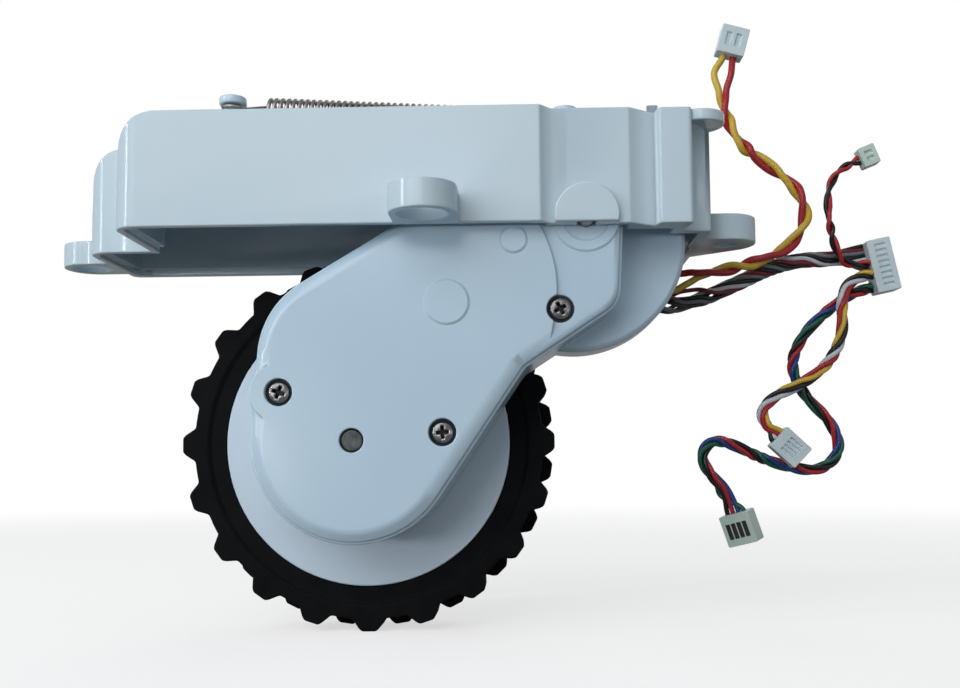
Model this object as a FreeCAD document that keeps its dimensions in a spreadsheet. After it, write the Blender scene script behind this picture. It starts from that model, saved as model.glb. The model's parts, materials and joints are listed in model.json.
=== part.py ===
"""Drive wheel module of a robot vacuum.

A housing like an upturned tray hangs the drive arm from a pivot at its right end. The arm is a thin
gearcase with the wheel behind it and the motor behind the pivot, and a spring on the housing's roof
pulls the wheel down. +X is right, +Y away from the gearcase cover, +Z up. The origin is the axis of
the left fixing ear at its underside. All lengths are millimetres.
"""

import FreeCAD, Part
import math
import os
import re

import Sketcher

SIZES = {
    # Housing walls
    "near_y": -37.0,
    "housing_height": 20.0,
    "wall": 2.0,
    "roof": 2.0,
    "front_left": 17.4,
    "back_left": 4.9,
    "back_right": 120.4,
    "cross_depth": 20.6,
    "corner": 4.5,
    "small_corner": 2.0,
    "shoulder": 7.0,
    "lean": 3.0,
    "lip_depth": 0.6,
    "lip_height": 1.3,
    # Recess and pillar at the right of the near wall
    "recess_left": 90.2,
    "recess_run": 2.0,
    "recess_depth": 2.2,
    "recess_wall": 1.6,
    "slant_left": 105.4,
    "slant_right": 109.9,
    "slant_depth": 5.3,
    "pillar_left": 110.6,
    "pillar_right": 116.2,
    "pillar_depth": 2.5,
    "pillar_corner": 0.8,
    "cheek_left": 115.2,
    "cheek_depth": 9.4,
    "cheek_corner": 1.0,
    # Wheel arch and the play round the raised wheel
    "arch_gap": 2.6,
    "arch_side": 1.6,
    "arch_wall": 1.6,
    # Fixing ears
    "ear_radius": 5.5,
    "ear_thick": 4.8,
    "ear_bore": 3.8,
    "near_ear_x": 70.9,
    "near_ear_out": 5.65,
    "near_ear_radius": 5.65,
    "near_ear_bore": 4.2,
    "right_ear_x": 124.9,
    "right_ear_depth": 22.0,
    "right_ear_radius": 5.8,
    "right_ear_bore": 2.2,
    "tab_x": 118.3,
    "tab_depth": 7.5,
    "tab_radius": 4.2,
    "tab_thick": 2.0,
    # Spring, its anchor post and the slot that the arm's lever rises through
    "spring_depth": 8.5,
    "slot_left": 40.0,
    "slot_right": 109.0,
    "slot_width": 7.0,
    "slot_corner": 1.5,
    "bump_run": 2.0,
    "bump_height": 1.6,
    "bump_corner": 0.6,
    "anchor_x": 36.2,
    "anchor_neck": 1.3,
    "anchor_head": 2.4,
    "anchor_height": 4.8,
    "anchor_head_thick": 1.4,
    "anchor_loop_rise": 2.8,
    "loop_play": 0.12,
    "spring_wire": 0.75,
    "spring_radius": 2.3,
    "spring_end_gap": 5.8,
    "spring_pitch": 1.09,
    "lever_reach": 18.2,
    "lever_lean": 10.0,
    "lever_foot_x": 1.6,
    "lever_foot_z": 6.5,
    "lever_thick": 3.0,
    "lever_head": 2.2,
    "lever_neck": 1.3,
    "lever_shoulder": 0.6,
    "lever_head_rise": 1.2,
    "lever_head_thick": 1.4,
    # Pivot
    "pivot_x": 98.0,
    "pivot_z": 1.4,
    "pivot_radius": 1.5,
    "pivot_post": 3.3,
    "pivot_seat": 0.2,
    "pivot_end_gap": 0.1,
    "turning_gap": 0.06,
    "swing": 28.0,
    "boss_radius": 5.5,
    "boss_proud": 1.2,
    "ring_outer": 5.7,
    "ring_inner": 3.9,
    "ring_proud": 0.2,
    "rear_boss_radius": 5.0,
    "rear_gap": 0.25,
    # Gearcase outline, from the pivot
    "wheel_dx": -40.2,
    "wheel_dz": -37.6,
    "lobe_radius": 17.2,
    "shoulder_x": -41.3,
    "shoulder_z": -23.5,
    "shoulder_bend": 15.0,
    "crown_x": -8.0,
    "crown_z": 6.8,
    "crown_bend": 6.0,
    "heel_x": 0.4,
    "heel_z": -11.7,
    "heel_bend": 5.0,
    "elbow_x": -8.9,
    "elbow_z": -27.3,
    "elbow_bend": 3.0,
    # Gearcase walls
    "cover_depth": 3.4,
    "cover_thick": 2.2,
    "cover_bevel": 2.3,
    "cover_bevel_deep": 1.5,
    "step_back": 0.8,
    "step_x": -27.0,
    "step_z": -12.0,
    "step_bend": 21.9,
    "gear_room": 14.4,
    "case_back": 2.0,
    "case_wall": 1.5,
    "case_lip": 0.5,
    "left_screw_x": -52.6,
    "left_screw_z": -29.3,
    "lower_screw_x": -24.8,
    "lower_screw_z": -36.4,
    "right_screw_x": -4.6,
    "right_screw_z": -15.6,
    "screw_boss": 5.0,
    "screw_recess": 2.35,
    "screw_sink": 1.1,
    "screw_head": 1.85,
    "screw_head_thick": 0.9,
    "screw_shank": 1.0,
    "screw_core": 0.85,
    "screw_length": 6.0,
    "screw_post": 2.7,
    "screw_play": 0.1,
    "pivot_grip": 3.2,
    "pivot_head": 3.0,
    "pivot_head_thick": 1.8,
    "head_bevel": 0.6,
    "first_dimple": 2.26,
    "second_dimple": 3.8,
    "dimple_proud": 0.35,
    "window_low": -13.0,
    "window_high": -2.0,
    "window_deep": 6.0,
    "drum_top": 9.5,
    "drum_radius": 20.0,
    "drum_dx": -1.5,
    "drum_dz": -2.0,
    "drum_depth": 13.4,
    "drum_bevel": 0.8,
    "barrel_radius": 14.0,
    "barrel_wall": 1.8,
    "barrel_play": 0.6,
    # Gears
    "face_width": 3.0,
    "layer_gap": 0.4,
    "fine_module": 0.5,
    "coarse_module": 0.6,
    "motor_teeth": 10,
    "first_teeth": 42,
    "first_pinion_teeth": 12,
    "second_teeth": 40,
    "second_pinion_teeth": 12,
    "third_teeth": 36,
    "third_pinion_teeth": 12,
    "output_teeth": 38,
    "first_bearing": 196.6,
    "second_bearing": 222.5,
    "tooth_play": 0.06,
    "gear_pin": 1.0,
    "gear_pin_seat": 1.2,
    "seat_gap": 0.02,
    # Wheel
    "shaft_radius": 2.0,
    "shaft_recess": 0.5,
    "shaft_bevel": 0.3,
    "bush_radius": 3.8,
    "bush_flange": 5.0,
    "bush_flange_thick": 0.8,
    "bush_sink": 1.2,
    "wheel_gap": 1.5,
    "rear_room": 8.0,
    "hub_web": 2.0,
    "hub_rim": 2.2,
    "hub_core": 5.5,
    "hub_depth": 12.0,
    "hub_ribs": 6,
    "hub_rib": 1.6,
    "hub_rib_height": 9.0,
    "hub_screw_core": 1.1,
    "hub_screw_length": 6.0,
    "hub_screw_head": 3.2,
    "hub_screw_head_thick": 2.0,
    "hub_screw_bevel": 0.8,
    "rim_step": 0.4,
    "tyre_radius": 35.0,
    "tyre_section": 8.4,
    "lug_height": 2.25,
    "tyre_width": 15.0,
    "lug_rows_gap": 0.6,
    "lugs": 20,
    "lug_top": 3.3,
    "lug_foot": 6.6,
    "sidewall_step": 0.5,
    "sidewall_ring": 3.1,
    "lug_root": 0.4,
    "lug_bevel": 0.6,
    # Motor
    "motor_gap": 0.2,
    "motor_shaft": 1.0,
    "motor_collar": 3.2,
    "magnet_radius": 3.5,
    "magnet_gap": 0.2,
    "magnet_thick": 0.7,
    "board_thick": 0.8,
    "board_gap": 1.2,
    "board_play": 0.3,
    "end_cap_thick": 2.0,
    "end_cap_bevel": 0.8,
    # Leads
    "motor_lead_across": 2.8,
    "main_lead_across": 3.2,
    "sensor_lead_across": 1.8,
    "branch_lead_across": 2.4,
    "grommet_play": 0.1,
    "connector_end": 0.8,
}

# What follows from the sizes above. Depths named _y are places along Y.
WORKED = {
    "far_y": "wheel_y + tyre_width + rear_room",
    "cross_y": "near_y + cross_depth",
    "ceiling": "housing_height - roof",
    "cover_y": "near_y + cover_depth",
    "case_y": "cover_y + cover_thick",
    "case_back_y": "case_y + gear_room",
    "barrel_y": "case_back_y + case_back",
    "barrel_end_y": "far_y - wall - barrel_play",
    "drum_y": "near_y + drum_depth",
    "spring_y": "near_y + spring_depth",
    "wheel_y": "barrel_y + wheel_gap",
    "hub_radius": "tyre_radius - tyre_section",
    "wheel_x": "pivot_x + wheel_dx",
    "wheel_z": "pivot_z + wheel_dz",
    "wheel_reach": "sqrt(wheel_dx * wheel_dx + wheel_dz * wheel_dz)",
    "wheel_drop": "atan(wheel_dz / wheel_dx)",
    "raised_x": "pivot_x - wheel_reach * cos(wheel_drop - swing * 1 deg)",
    "raised_z": "pivot_z - wheel_reach * sin(wheel_drop - swing * 1 deg)",
    "lean_run": "(housing_height - shoulder) * tan(lean)",
    "arch_radius": "tyre_radius + arch_gap",
    "arch_depth": "wheel_y + tyre_width + arch_side - cross_y - wall",
    "lever_x": "-lever_reach * sin(lever_lean)",
    "lever_z": "lever_reach * cos(lever_lean)",
    "board_y": "barrel_y + motor_length + board_gap",
    "cap_y": "barrel_end_y - end_cap_thick",
    "motor_radius": "barrel_radius - barrel_wall - motor_gap",
    "motor_length": "cap_y - barrel_y - board_gap - board_thick - board_play",
    "first_reach": "(motor_teeth + first_teeth) * fine_module / 2",
    "second_reach": "(first_pinion_teeth + second_teeth) * coarse_module / 2",
    "third_reach": "(second_pinion_teeth + third_teeth) * coarse_module / 2",
    "output_reach": "(third_pinion_teeth + output_teeth) * coarse_module / 2",
    "layer": "face_width + layer_gap",
    "first_x": "first_reach * cos(first_bearing)",
    "first_z": "first_reach * sin(first_bearing)",
    "second_x": "first_x + second_reach * cos(second_bearing)",
    "second_z": "first_z + second_reach * sin(second_bearing)",
    "span_x": "wheel_dx - second_x",
    "span_z": "wheel_dz - second_z",
    "span": "sqrt(span_x * span_x + span_z * span_z)",
    "along": "(span * span + third_reach * third_reach - output_reach * output_reach) / 2 / span",
    "aside": "sqrt(third_reach * third_reach - along * along)",
    "third_x": "second_x + (along * span_x + aside * span_z) / span",
    "third_z": "second_z + (along * span_z - aside * span_x) / span",
}

doc = FreeCAD.newDocument("wheel_module")
sheet = doc.addObject("Spreadsheet::Sheet", "Sizes")
for row, (alias, value) in enumerate(SIZES.items(), start=1):
    sheet.set(f"A{row}", alias)
    sheet.set(f"B{row}", str(value))
    sheet.setAlias(f"B{row}", alias)
doc.recompute()


def spelled(rule):
    """A rule with each size led by the sheet's name and each worked-out name by its own rule."""

    def word(found):
        name = found.group(0)
        if name in WORKED:
            return "(" + spelled(WORKED[name]) + ")"
        return "Sizes." + name if name in SIZES else name

    return re.sub(r"[a-z_]+", word, rule)


def number(rule):
    """What a rule comes to with the sizes as they are."""
    return float(sheet.evalExpression(spelled(rule)))


def bound(thing, what, rule):
    """Ties one property of a document object to a rule."""
    thing.setExpression(what, spelled(rule))


def place(thing, x="0", y="0", z="0"):
    """Ties a piece's place to three rules."""
    bound(thing, "Placement.Base.x", x)
    bound(thing, "Placement.Base.y", y)
    bound(thing, "Placement.Base.z", z)


# Sketches

# Which way a pad or a pocket has to be turned to go towards +Y or +Z from its sketch
TOWARDS = {"XZ_Plane": (True, False, "-"), "XY_Plane": (False, True, ""), "YZ_Plane": (False, True, "")}


def sketch_on(piece, plane, start):
    """An empty sketch of the piece, parallel to one of its planes."""
    sketch = piece.newObject("Sketcher::SketchObject", "Sketch")
    plane_object = [feature for feature in piece.Origin.OriginFeatures if feature.Role == plane][0]
    sketch.AttachmentSupport = [(plane_object, "")]
    sketch.MapMode = "FlatFace"
    bound(sketch, "AttachmentOffset.Base.z", f"{TOWARDS[plane][2]}({start})")
    return sketch


def constrain(sketch, ties):
    """Adds constraints, each a kind, its ends and the rule of its value where it has one."""
    made = []
    for kind, ends, rule in ties:
        value = [] if rule is None else [number(rule)]
        made.append(Sketcher.Constraint(kind, *ends, *value))
    for index, (kind, ends, rule) in zip(sketch.addConstraint(made), ties):
        if rule is not None:
            bound(sketch, f"Constraints[{index}]", rule)


def at(shape, point, x, z):
    """The two ties that hold a point of a shape at its distances from the sketch's origin."""
    return [("DistanceX", (-1, 1, shape, point), x), ("DistanceY", (-1, 1, shape, point), z)]


def disc(x, z, radius):
    """A full circle as an outline."""

    def draw(sketch):
        centre = FreeCAD.Vector(number(x), number(z), 0)
        shape = sketch.addGeometry(Part.Circle(centre, FreeCAD.Vector(0, 0, 1), number(radius)))
        constrain(sketch, at(shape, 3, x, z) + [("Radius", (shape,), radius)])

    return draw


def dome(x, z, radius, floor):
    """The part of a circle above a level line, as an outline."""

    def draw(sketch):
        centre = FreeCAD.Vector(number(x), number(z), 0)
        start = math.asin((number(floor) - centre.y) / number(radius))
        circle = Part.Circle(centre, FreeCAD.Vector(0, 0, 1), number(radius))
        arc_curve = Part.ArcOfCircle(circle, start, math.pi - start)
        arc = sketch.addGeometry(arc_curve)
        line = sketch.addGeometry(Part.LineSegment(arc_curve.EndPoint, arc_curve.StartPoint))
        ties = at(arc, 3, x, z) + [("Radius", (arc,), radius)]
        ties += [("Coincident", (arc, 2, line, 1), None), ("Coincident", (arc, 1, line, 2), None)]
        ties += [("Horizontal", (line,), None), ("DistanceY", (-1, 1, line, 1), floor)]
        constrain(sketch, ties)

    return draw


def belt(*corners):
    """A closed outline, counterclockwise, like a belt round pulleys.

    A corner is (x, z) where it is sharp, (x, z, radius) where it is rounded about that centre, and
    (x, z, radius, -1) where it is a hollow round the other way.
    """

    def draw(sketch):
        pulleys = []
        for corner in corners:
            side = corner[3] if len(corner) == 4 else 1
            radius = number(corner[2]) * side if len(corner) > 2 else 0.0
            pulleys.append((FreeCAD.Vector(number(corner[0]), number(corner[1]), 0), radius))
        runs = []
        for (here, near), (there, far) in zip(pulleys, pulleys[1:] + pulleys[:1]):
            reach = there - here
            angle = math.atan2(reach.y, reach.x) + math.asin((near - far) / reach.Length)
            left = FreeCAD.Vector(-math.sin(angle), math.cos(angle), 0)
            runs.append(Part.LineSegment(here - left * near, there - left * far))
        lines = sketch.addGeometry(runs)
        ties = []
        for index, corner in enumerate(corners):
            before = lines[index - 1]
            after = lines[index]
            if len(corner) == 2:
                ties.append(("Coincident", (before, 2, after, 1), None))
                ties += at(after, 1, corner[0], corner[1])
                continue
            centre, radius = pulleys[index]
            ends = (runs[index - 1].EndPoint, runs[index].StartPoint)
            if radius < 0:
                ends = (ends[1], ends[0])
            first, second = [math.atan2(end.y - centre.y, end.x - centre.x) for end in ends]
            circle = Part.Circle(centre, FreeCAD.Vector(0, 0, 1), abs(radius))
            arc = sketch.addGeometry(Part.ArcOfCircle(circle, first, second))
            into, out = (1, 2) if radius > 0 else (2, 1)
            ties.append(("Tangent", (before, 2, arc, into), None))
            ties.append(("Tangent", (after, 1, arc, out), None))
            ties += at(arc, 3, corner[0], corner[1])
            ties.append(("Radius", (arc,), corner[2]))
        constrain(sketch, ties)

    return draw


def box(left, low, right, high, bend=None):
    """A rectangle as an outline, with rounded corners where a bend is given."""
    if bend is None:
        return belt((left, low), (right, low), (right, high), (left, high))
    return belt(
        (f"{left} + {bend}", f"{low} + {bend}", bend),
        (f"{right} - ({bend})", f"{low} + {bend}", bend),
        (f"{right} - ({bend})", f"{high} - ({bend})", bend),
        (f"{left} + {bend}", f"{high} - ({bend})", bend),
    )


# Pieces


def body(name, x="0", y="0", z="0"):
    """An empty piece with a place of its own."""
    piece = doc.addObject("PartDesign::Body", name)
    piece.Label = name
    place(piece, x, y, z)
    return piece


def extrude(piece, kind, plane, start, length, outlines):
    sketch = sketch_on(piece, plane, start)
    for outline in outlines:
        outline(sketch)
    feature = piece.newObject(f"PartDesign::{kind}", kind)
    feature.Profile = sketch
    feature.Reversed = TOWARDS[plane][0 if kind == "Pad" else 1]
    bound(feature, "Length", length)
    return feature


def add(piece, plane, start, length, *outlines):
    """Adds the outlines, carried from start towards +Y or +Z."""
    return extrude(piece, "Pad", plane, start, length, outlines)


def cut(piece, plane, start, length, *outlines):
    """Takes the outlines away, carried from start towards +Y or +Z."""
    return extrude(piece, "Pocket", plane, start, length, outlines)


def turned(piece, *profile, kind="Revolution"):
    """A profile of (radius, depth) corners turned about the piece's own Y axis."""
    sketch = sketch_on(piece, "XY_Plane", "0")
    belt(*profile)(sketch)
    feature = piece.newObject(f"PartDesign::{kind}", kind)
    feature.Profile = sketch
    feature.ReferenceAxis = (axis_of(piece, "Y_Axis"), [""])
    feature.Angle = 360
    return feature


def axis_of(piece, role):
    return [feature for feature in piece.Origin.OriginFeatures if feature.Role == role][0]


def repeated(piece, features, count):
    """Repeats features evenly about the piece's own Y axis."""
    pattern = piece.newObject("PartDesign::PolarPattern", "Ring")
    pattern.Originals = features
    pattern.Axis = (axis_of(piece, "Y_Axis"), [""])
    pattern.Angle = 360
    bound(pattern, "Occurrences", count)
    piece.Tip = pattern
    return pattern


def together(name, pieces):
    """Puts several like pieces in one node, each still a solid of its own."""
    group = doc.addObject("Part::Compound", name)
    group.Label = name
    group.Links = pieces
    grouped.extend(pieces)


grouped = []


def bevel_front(piece, feature, depth, across, deep):
    """Bevels the edges of a feature's front face, which lies at a depth."""
    doc.recompute()
    level = number(depth)
    edges = []
    for index, edge in enumerate(feature.Shape.Edges, start=1):
        if abs(edge.BoundBox.YMin - level) < 0.01 and abs(edge.BoundBox.YMax - level) < 0.01:
            edges.append(f"Edge{index}")
    bevel = piece.newObject("PartDesign::Chamfer", "Bevel")
    bevel.Base = (feature, edges)
    bevel.ChamferType = "Two distances"
    bound(bevel, "Size", deep)
    bound(bevel, "Size2", across)
    return bevel


# Housing

housing = body("housing")
add(
    housing,
    "XY_Plane",
    "0",
    "housing_height",
    belt(
        ("front_left + corner", "near_y + corner", "corner"),
        ("recess_left", "near_y"),
        ("recess_left + recess_run", "near_y + recess_depth"),
        ("slant_left", "near_y + recess_depth"),
        ("slant_right", "near_y + slant_depth"),
        ("pillar_left", "near_y + pillar_depth"),
        ("pillar_right - pillar_corner", "near_y + pillar_depth + pillar_corner", "pillar_corner"),
        ("cheek_left", "near_y + cheek_depth"),
        ("back_right - cheek_corner", "near_y + cheek_depth + cheek_corner", "cheek_corner"),
        ("back_right - small_corner", "far_y - small_corner", "small_corner"),
        ("back_left + small_corner", "far_y - small_corner", "small_corner"),
        ("back_left + corner", "cross_y + corner", "corner"),
        ("front_left", "cross_y"),
    ),
)


def outside_shoulder(left):
    """What lies outside a left end that leans in and turns over into the roof in a quarter round."""
    return belt(
        (f"{left} - corner", "-1"),
        (left, "-1"),
        (f"{left} + lean_run + shoulder", "housing_height - shoulder", "shoulder", -1),
        (f"{left} + lean_run + 2 * shoulder", "housing_height"),
        (f"{left} + lean_run + 2 * shoulder", "housing_height + 1"),
        (f"{left} - corner", "housing_height + 1"),
    )


cut(housing, "XZ_Plane", "near_y - 1", "cross_depth + 1", outside_shoulder("front_left"))
cut(housing, "XZ_Plane", "cross_y - 1", "far_y - cross_y + 2", outside_shoulder("back_left"))

# The wheel arch stands a little above the roof.
add(
    housing,
    "XZ_Plane",
    "cross_y + wall - arch_wall",
    "arch_depth + 2 * arch_wall",
    dome("raised_x", "raised_z", "arch_radius + arch_wall", "ceiling"),
)

# The hollow, in steps that follow the near wall
cut(
    housing,
    "XZ_Plane",
    "near_y + wall",
    "cross_depth - wall + 3",
    belt(
        ("front_left + wall", "-1"),
        ("recess_left + recess_run / 2 - 0.2", "-1"),
        ("recess_left + recess_run / 2 - 0.2", "ceiling"),
        ("front_left + lean_run + shoulder", "ceiling - (shoulder - wall)", "shoulder - wall"),
    ),
)
cut(
    housing,
    "XZ_Plane",
    "near_y + recess_depth + recess_wall",
    "cross_depth",
    box("recess_left - wall", "-1", "slant_left - 0.3", "ceiling"),
)
cut(
    housing,
    "XZ_Plane",
    "near_y + slant_depth + wall",
    "cross_depth",
    box("slant_left - wall", "-1", "cheek_left - wall", "ceiling"),
)
cut(
    housing,
    "XZ_Plane",
    "cross_y + wall",
    "far_y - cross_y - 2 * wall",
    belt(
        ("back_left + wall", "-1"),
        ("back_right - wall", "-1"),
        ("back_right - wall", "ceiling"),
        ("back_left + lean_run + shoulder", "ceiling - (shoulder - wall)", "shoulder - wall"),
    ),
)
cut(
    housing,
    "XZ_Plane",
    "near_y + cheek_depth + wall",
    "cross_depth",
    box("cheek_left - 2 * wall", "-1", "back_right - wall", "ceiling"),
)
cut(
    housing,
    "XZ_Plane",
    "cross_y + wall",
    "arch_depth",
    disc("raised_x", "raised_z", "arch_radius"),
)

# A shallow rebate along the hollow's lower edge leaves a thinner lip on the walls.
cut(
    housing,
    "XY_Plane",
    "-1",
    "lip_height + 1",
    box(
        "front_left + wall - lip_depth",
        "near_y + wall - lip_depth",
        "recess_left",
        "cross_y + 2 * wall",
        "corner - wall + lip_depth",
    ),
)
cut(
    housing,
    "XY_Plane",
    "-1",
    "lip_height + 1",
    box(
        "back_left + wall - lip_depth",
        "cross_y + wall - lip_depth",
        "back_right - wall + lip_depth",
        "far_y - wall + lip_depth",
        "corner - wall + lip_depth",
    ),
)

# The slot that the lever moves in, and the rib that ends it
cut(
    housing,
    "XY_Plane",
    "ceiling - 1",
    "roof + 2",
    box(
        "slot_left",
        "spring_y - slot_width / 2",
        "slot_right",
        "spring_y + slot_width / 2",
        "slot_corner",
    ),
)
add(
    housing,
    "XY_Plane",
    "ceiling",
    "roof + bump_height",
    box("slot_right", "spring_y - bump_run", "slot_right + bump_run", "spring_y + bump_run", "bump_corner"),
)

# Fixing ears
add(
    housing,
    "XY_Plane",
    "0",
    "ear_thick",
    belt(
        ("0", "0", "ear_radius"),
        ("back_left + wall / 2", "-ear_radius"),
        ("back_left + wall / 2", "ear_radius"),
    ),
)
cut(housing, "XY_Plane", "-1", "ear_thick + 2", disc("0", "0", "ear_bore"))
add(
    housing,
    "XY_Plane",
    "0",
    "ear_thick",
    belt(
        ("near_ear_x", "near_y - near_ear_out", "near_ear_radius"),
        ("near_ear_x + near_ear_radius", "near_y + wall / 2"),
        ("near_ear_x - near_ear_radius", "near_y + wall / 2"),
    ),
)
cut(
    housing,
    "XY_Plane",
    "-1",
    "ear_thick + 2",
    disc("near_ear_x", "near_y - near_ear_out", "near_ear_bore"),
)
add(
    housing,
    "XY_Plane",
    "0",
    "ear_thick",
    belt(
        ("right_ear_x", "near_y + right_ear_depth", "right_ear_radius"),
        ("back_right - wall / 2", "near_y + right_ear_depth + 2 * right_ear_radius"),
        ("back_right - wall / 2", "near_y + right_ear_depth - right_ear_radius"),
    ),
)
cut(
    housing,
    "XY_Plane",
    "-1",
    "ear_thick + 2",
    disc("right_ear_x", "near_y + right_ear_depth", "right_ear_bore"),
)
add(
    housing,
    "XY_Plane",
    "housing_height - tab_thick",
    "tab_thick",
    disc("tab_x", "near_y + tab_depth", "tab_radius"),
)

# The anchor post of the spring, with a head that keeps the loop on
add(
    housing,
    "XY_Plane",
    "ceiling",
    "roof + anchor_height",
    disc("anchor_x", "spring_y", "anchor_neck"),
)
add(
    housing,
    "XY_Plane",
    "housing_height + anchor_height - anchor_head_thick",
    "anchor_head_thick",
    disc("anchor_x", "spring_y", "anchor_head"),
)

# The half disc that covers the front pivot pin, and the seat behind it, open below
add(
    housing,
    "XZ_Plane",
    "near_y + recess_depth - boss_proud",
    "boss_proud + recess_wall",
    dome("pivot_x", "pivot_z", "boss_radius", "pivot_seat"),
)
cut(
    housing,
    "XZ_Plane",
    "near_y + recess_depth - pivot_seat",
    "recess_wall + 1",
    belt(
        ("pivot_x", "pivot_z", "pivot_radius + turning_gap"),
        ("pivot_x - pivot_radius - turning_gap", "-1"),
        ("pivot_x + pivot_radius + turning_gap", "-1"),
    ),
)

# The boss in the far wall that the rear pivot screw turns in
add(
    housing,
    "XZ_Plane",
    "barrel_end_y + rear_gap",
    "far_y - barrel_end_y - rear_gap",
    disc("pivot_x", "pivot_z", "rear_boss_radius"),
)
cut(
    housing,
    "XZ_Plane",
    "barrel_end_y",
    "far_y - barrel_end_y + 1",
    disc("pivot_x", "pivot_z", "pivot_radius + turning_gap"),
)


# Gearcase


def case_outline(grow):
    """The outline that case and cover share, made larger or smaller by grow."""
    return belt(
        ("heel_x", "heel_z", f"heel_bend + {grow}"),
        ("0", "0", f"crown_bend + {grow}"),
        ("crown_x", "crown_z", f"crown_bend + {grow}"),
        ("shoulder_x", "shoulder_z", f"shoulder_bend + {grow}"),
        ("wheel_dx", "wheel_dz", f"lobe_radius + {grow}"),
        ("elbow_x", "elbow_z", f"elbow_bend - ({grow})", -1),
    )


# The cover screws, from the pivot
SCREWS = (
    ("left_screw_x", "left_screw_z"),
    ("lower_screw_x", "lower_screw_z"),
    ("right_screw_x", "right_screw_z"),
)

# The fixed pins that the three compound gears turn on, from the pivot
GEAR_PINS = (("first_x", "first_z"), ("second_x", "second_z"), ("third_x", "third_z"))

gear_case = body("gear_case", "pivot_x", "0", "pivot_z")
drum = add(
    gear_case,
    "XZ_Plane",
    "drum_y",
    "barrel_y - drum_y",
    disc("drum_dx", "drum_dz", "drum_radius"),
)
bevel_front(gear_case, drum, "drum_y", "drum_bevel", "drum_bevel")
cut(
    gear_case,
    "XZ_Plane",
    "drum_y - 1",
    "barrel_y - drum_y + 2",
    belt(
        ("-2 * drum_radius", "drum_top - drum_radius"),
        ("crown_x", "drum_top - drum_radius"),
        ("crown_x", "drum_top"),
        ("2 * drum_radius", "drum_top"),
        ("2 * drum_radius", "2 * drum_radius"),
        ("-2 * drum_radius", "2 * drum_radius"),
    ),
)
add(gear_case, "XZ_Plane", "case_y", "barrel_y - case_y", case_outline("case_lip"))
add(
    gear_case,
    "XZ_Plane",
    "case_y",
    "barrel_y - case_y",
    disc(*SCREWS[0], "screw_boss + case_lip"),
)
cut(gear_case, "XZ_Plane", "case_y", "gear_room", case_outline("case_lip - case_wall"))
for screw_x, screw_z in SCREWS:
    add(gear_case, "XZ_Plane", "case_y", "gear_room", disc(screw_x, screw_z, "screw_post"))
    cut(gear_case, "XZ_Plane", "case_y", "screw_length + 1", disc(screw_x, screw_z, "screw_core"))
for pin_x, pin_z in GEAR_PINS:
    cut(
        gear_case,
        "XZ_Plane",
        "case_back_y",
        "gear_pin_seat",
        disc(pin_x, pin_z, "gear_pin + seat_gap"),
    )
cut(
    gear_case,
    "XZ_Plane",
    "case_back_y",
    "case_back + 1",
    disc("wheel_dx", "wheel_dz", "bush_radius + seat_gap"),
)
cut(gear_case, "XZ_Plane", "case_back_y", "case_back + 1", disc("0", "0", "motor_collar + motor_gap"))
add(
    gear_case,
    "XZ_Plane",
    "barrel_y",
    "cap_y - barrel_y",
    disc("0", "0", "barrel_radius"),
    disc("0", "0", "motor_radius + motor_gap"),
)
# The window in the barrel that the leads leave through
cut(
    gear_case,
    "XZ_Plane",
    "cap_y - window_deep",
    "window_deep",
    box("motor_radius / 2", "window_low", "2 * barrel_radius", "window_high"),
)
# The lever of the spring, with a neck and a head for its loop
add(
    gear_case,
    "XZ_Plane",
    "spring_y - lever_thick / 2",
    "lever_thick",
    belt(
        ("crown_x", "crown_z + crown_bend"),
        ("lever_foot_x", "lever_foot_z"),
        ("lever_x + lever_neck + lever_shoulder", "lever_z - lever_head_rise"),
        ("lever_x - lever_neck - lever_shoulder", "lever_z - lever_head_rise"),
    ),
)
add(
    gear_case,
    "XY_Plane",
    "lever_z - 2 * lever_head_rise",
    "4 * lever_head_rise",
    disc("lever_x", "spring_y", "lever_neck"),
)
add(
    gear_case,
    "XY_Plane",
    "lever_z + lever_head_rise",
    "lever_head_thick",
    disc("lever_x", "spring_y", "lever_head"),
)

# Gear cover

gear_cover = body("gear_cover", "pivot_x", "0", "pivot_z")
plate = add(gear_cover, "XZ_Plane", "cover_y", "cover_thick", case_outline("0"))
bevel_front(gear_cover, plate, "cover_y", "cover_bevel", "cover_bevel_deep")
add(gear_cover, "XZ_Plane", "cover_y", "cover_thick", disc(*SCREWS[0], "screw_boss"))
cut(
    gear_cover,
    "XZ_Plane",
    "cover_y - 1",
    "step_back + 1",
    belt(
        ("2 * heel_bend", "2 * elbow_z"),
        ("2 * heel_bend", "crown_z + 2 * crown_bend"),
        ("step_x + 0.4 * step_bend", "crown_z + 1.5 * crown_bend"),
        ("step_x", "step_z", "step_bend", -1),
        ("step_x + 0.7 * step_bend", "2 * elbow_z"),
    ),
)
add(
    gear_cover,
    "XZ_Plane",
    "cover_y + step_back - ring_proud",
    "2 * ring_proud",
    disc("0", "0", "ring_outer"),
    disc("0", "0", "ring_inner"),
)
add(gear_cover, "XZ_Plane", "cover_y - dimple_proud", "1", disc("first_x", "first_z", "first_dimple"))
add(gear_cover, "XZ_Plane", "cover_y - dimple_proud", "1", disc("second_x", "second_z", "second_dimple"))
add(
    gear_cover,
    "XZ_Plane",
    "cover_y + cover_thick / 2",
    "cover_thick / 2 + pivot_grip",
    disc("0", "0", "pivot_post"),
)
cut(gear_cover, "XZ_Plane", "cover_y - 1", "pivot_grip + 6", disc("0", "0", "pivot_radius + seat_gap"))
for screw_x, screw_z in SCREWS:
    cut(gear_cover, "XZ_Plane", "cover_y - 1", "screw_sink + 1", disc(screw_x, screw_z, "screw_recess"))
    shank_hole = disc(screw_x, screw_z, "screw_shank + screw_play")
    cut(gear_cover, "XZ_Plane", "cover_y", "cover_thick + 1", shank_hole)
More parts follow.
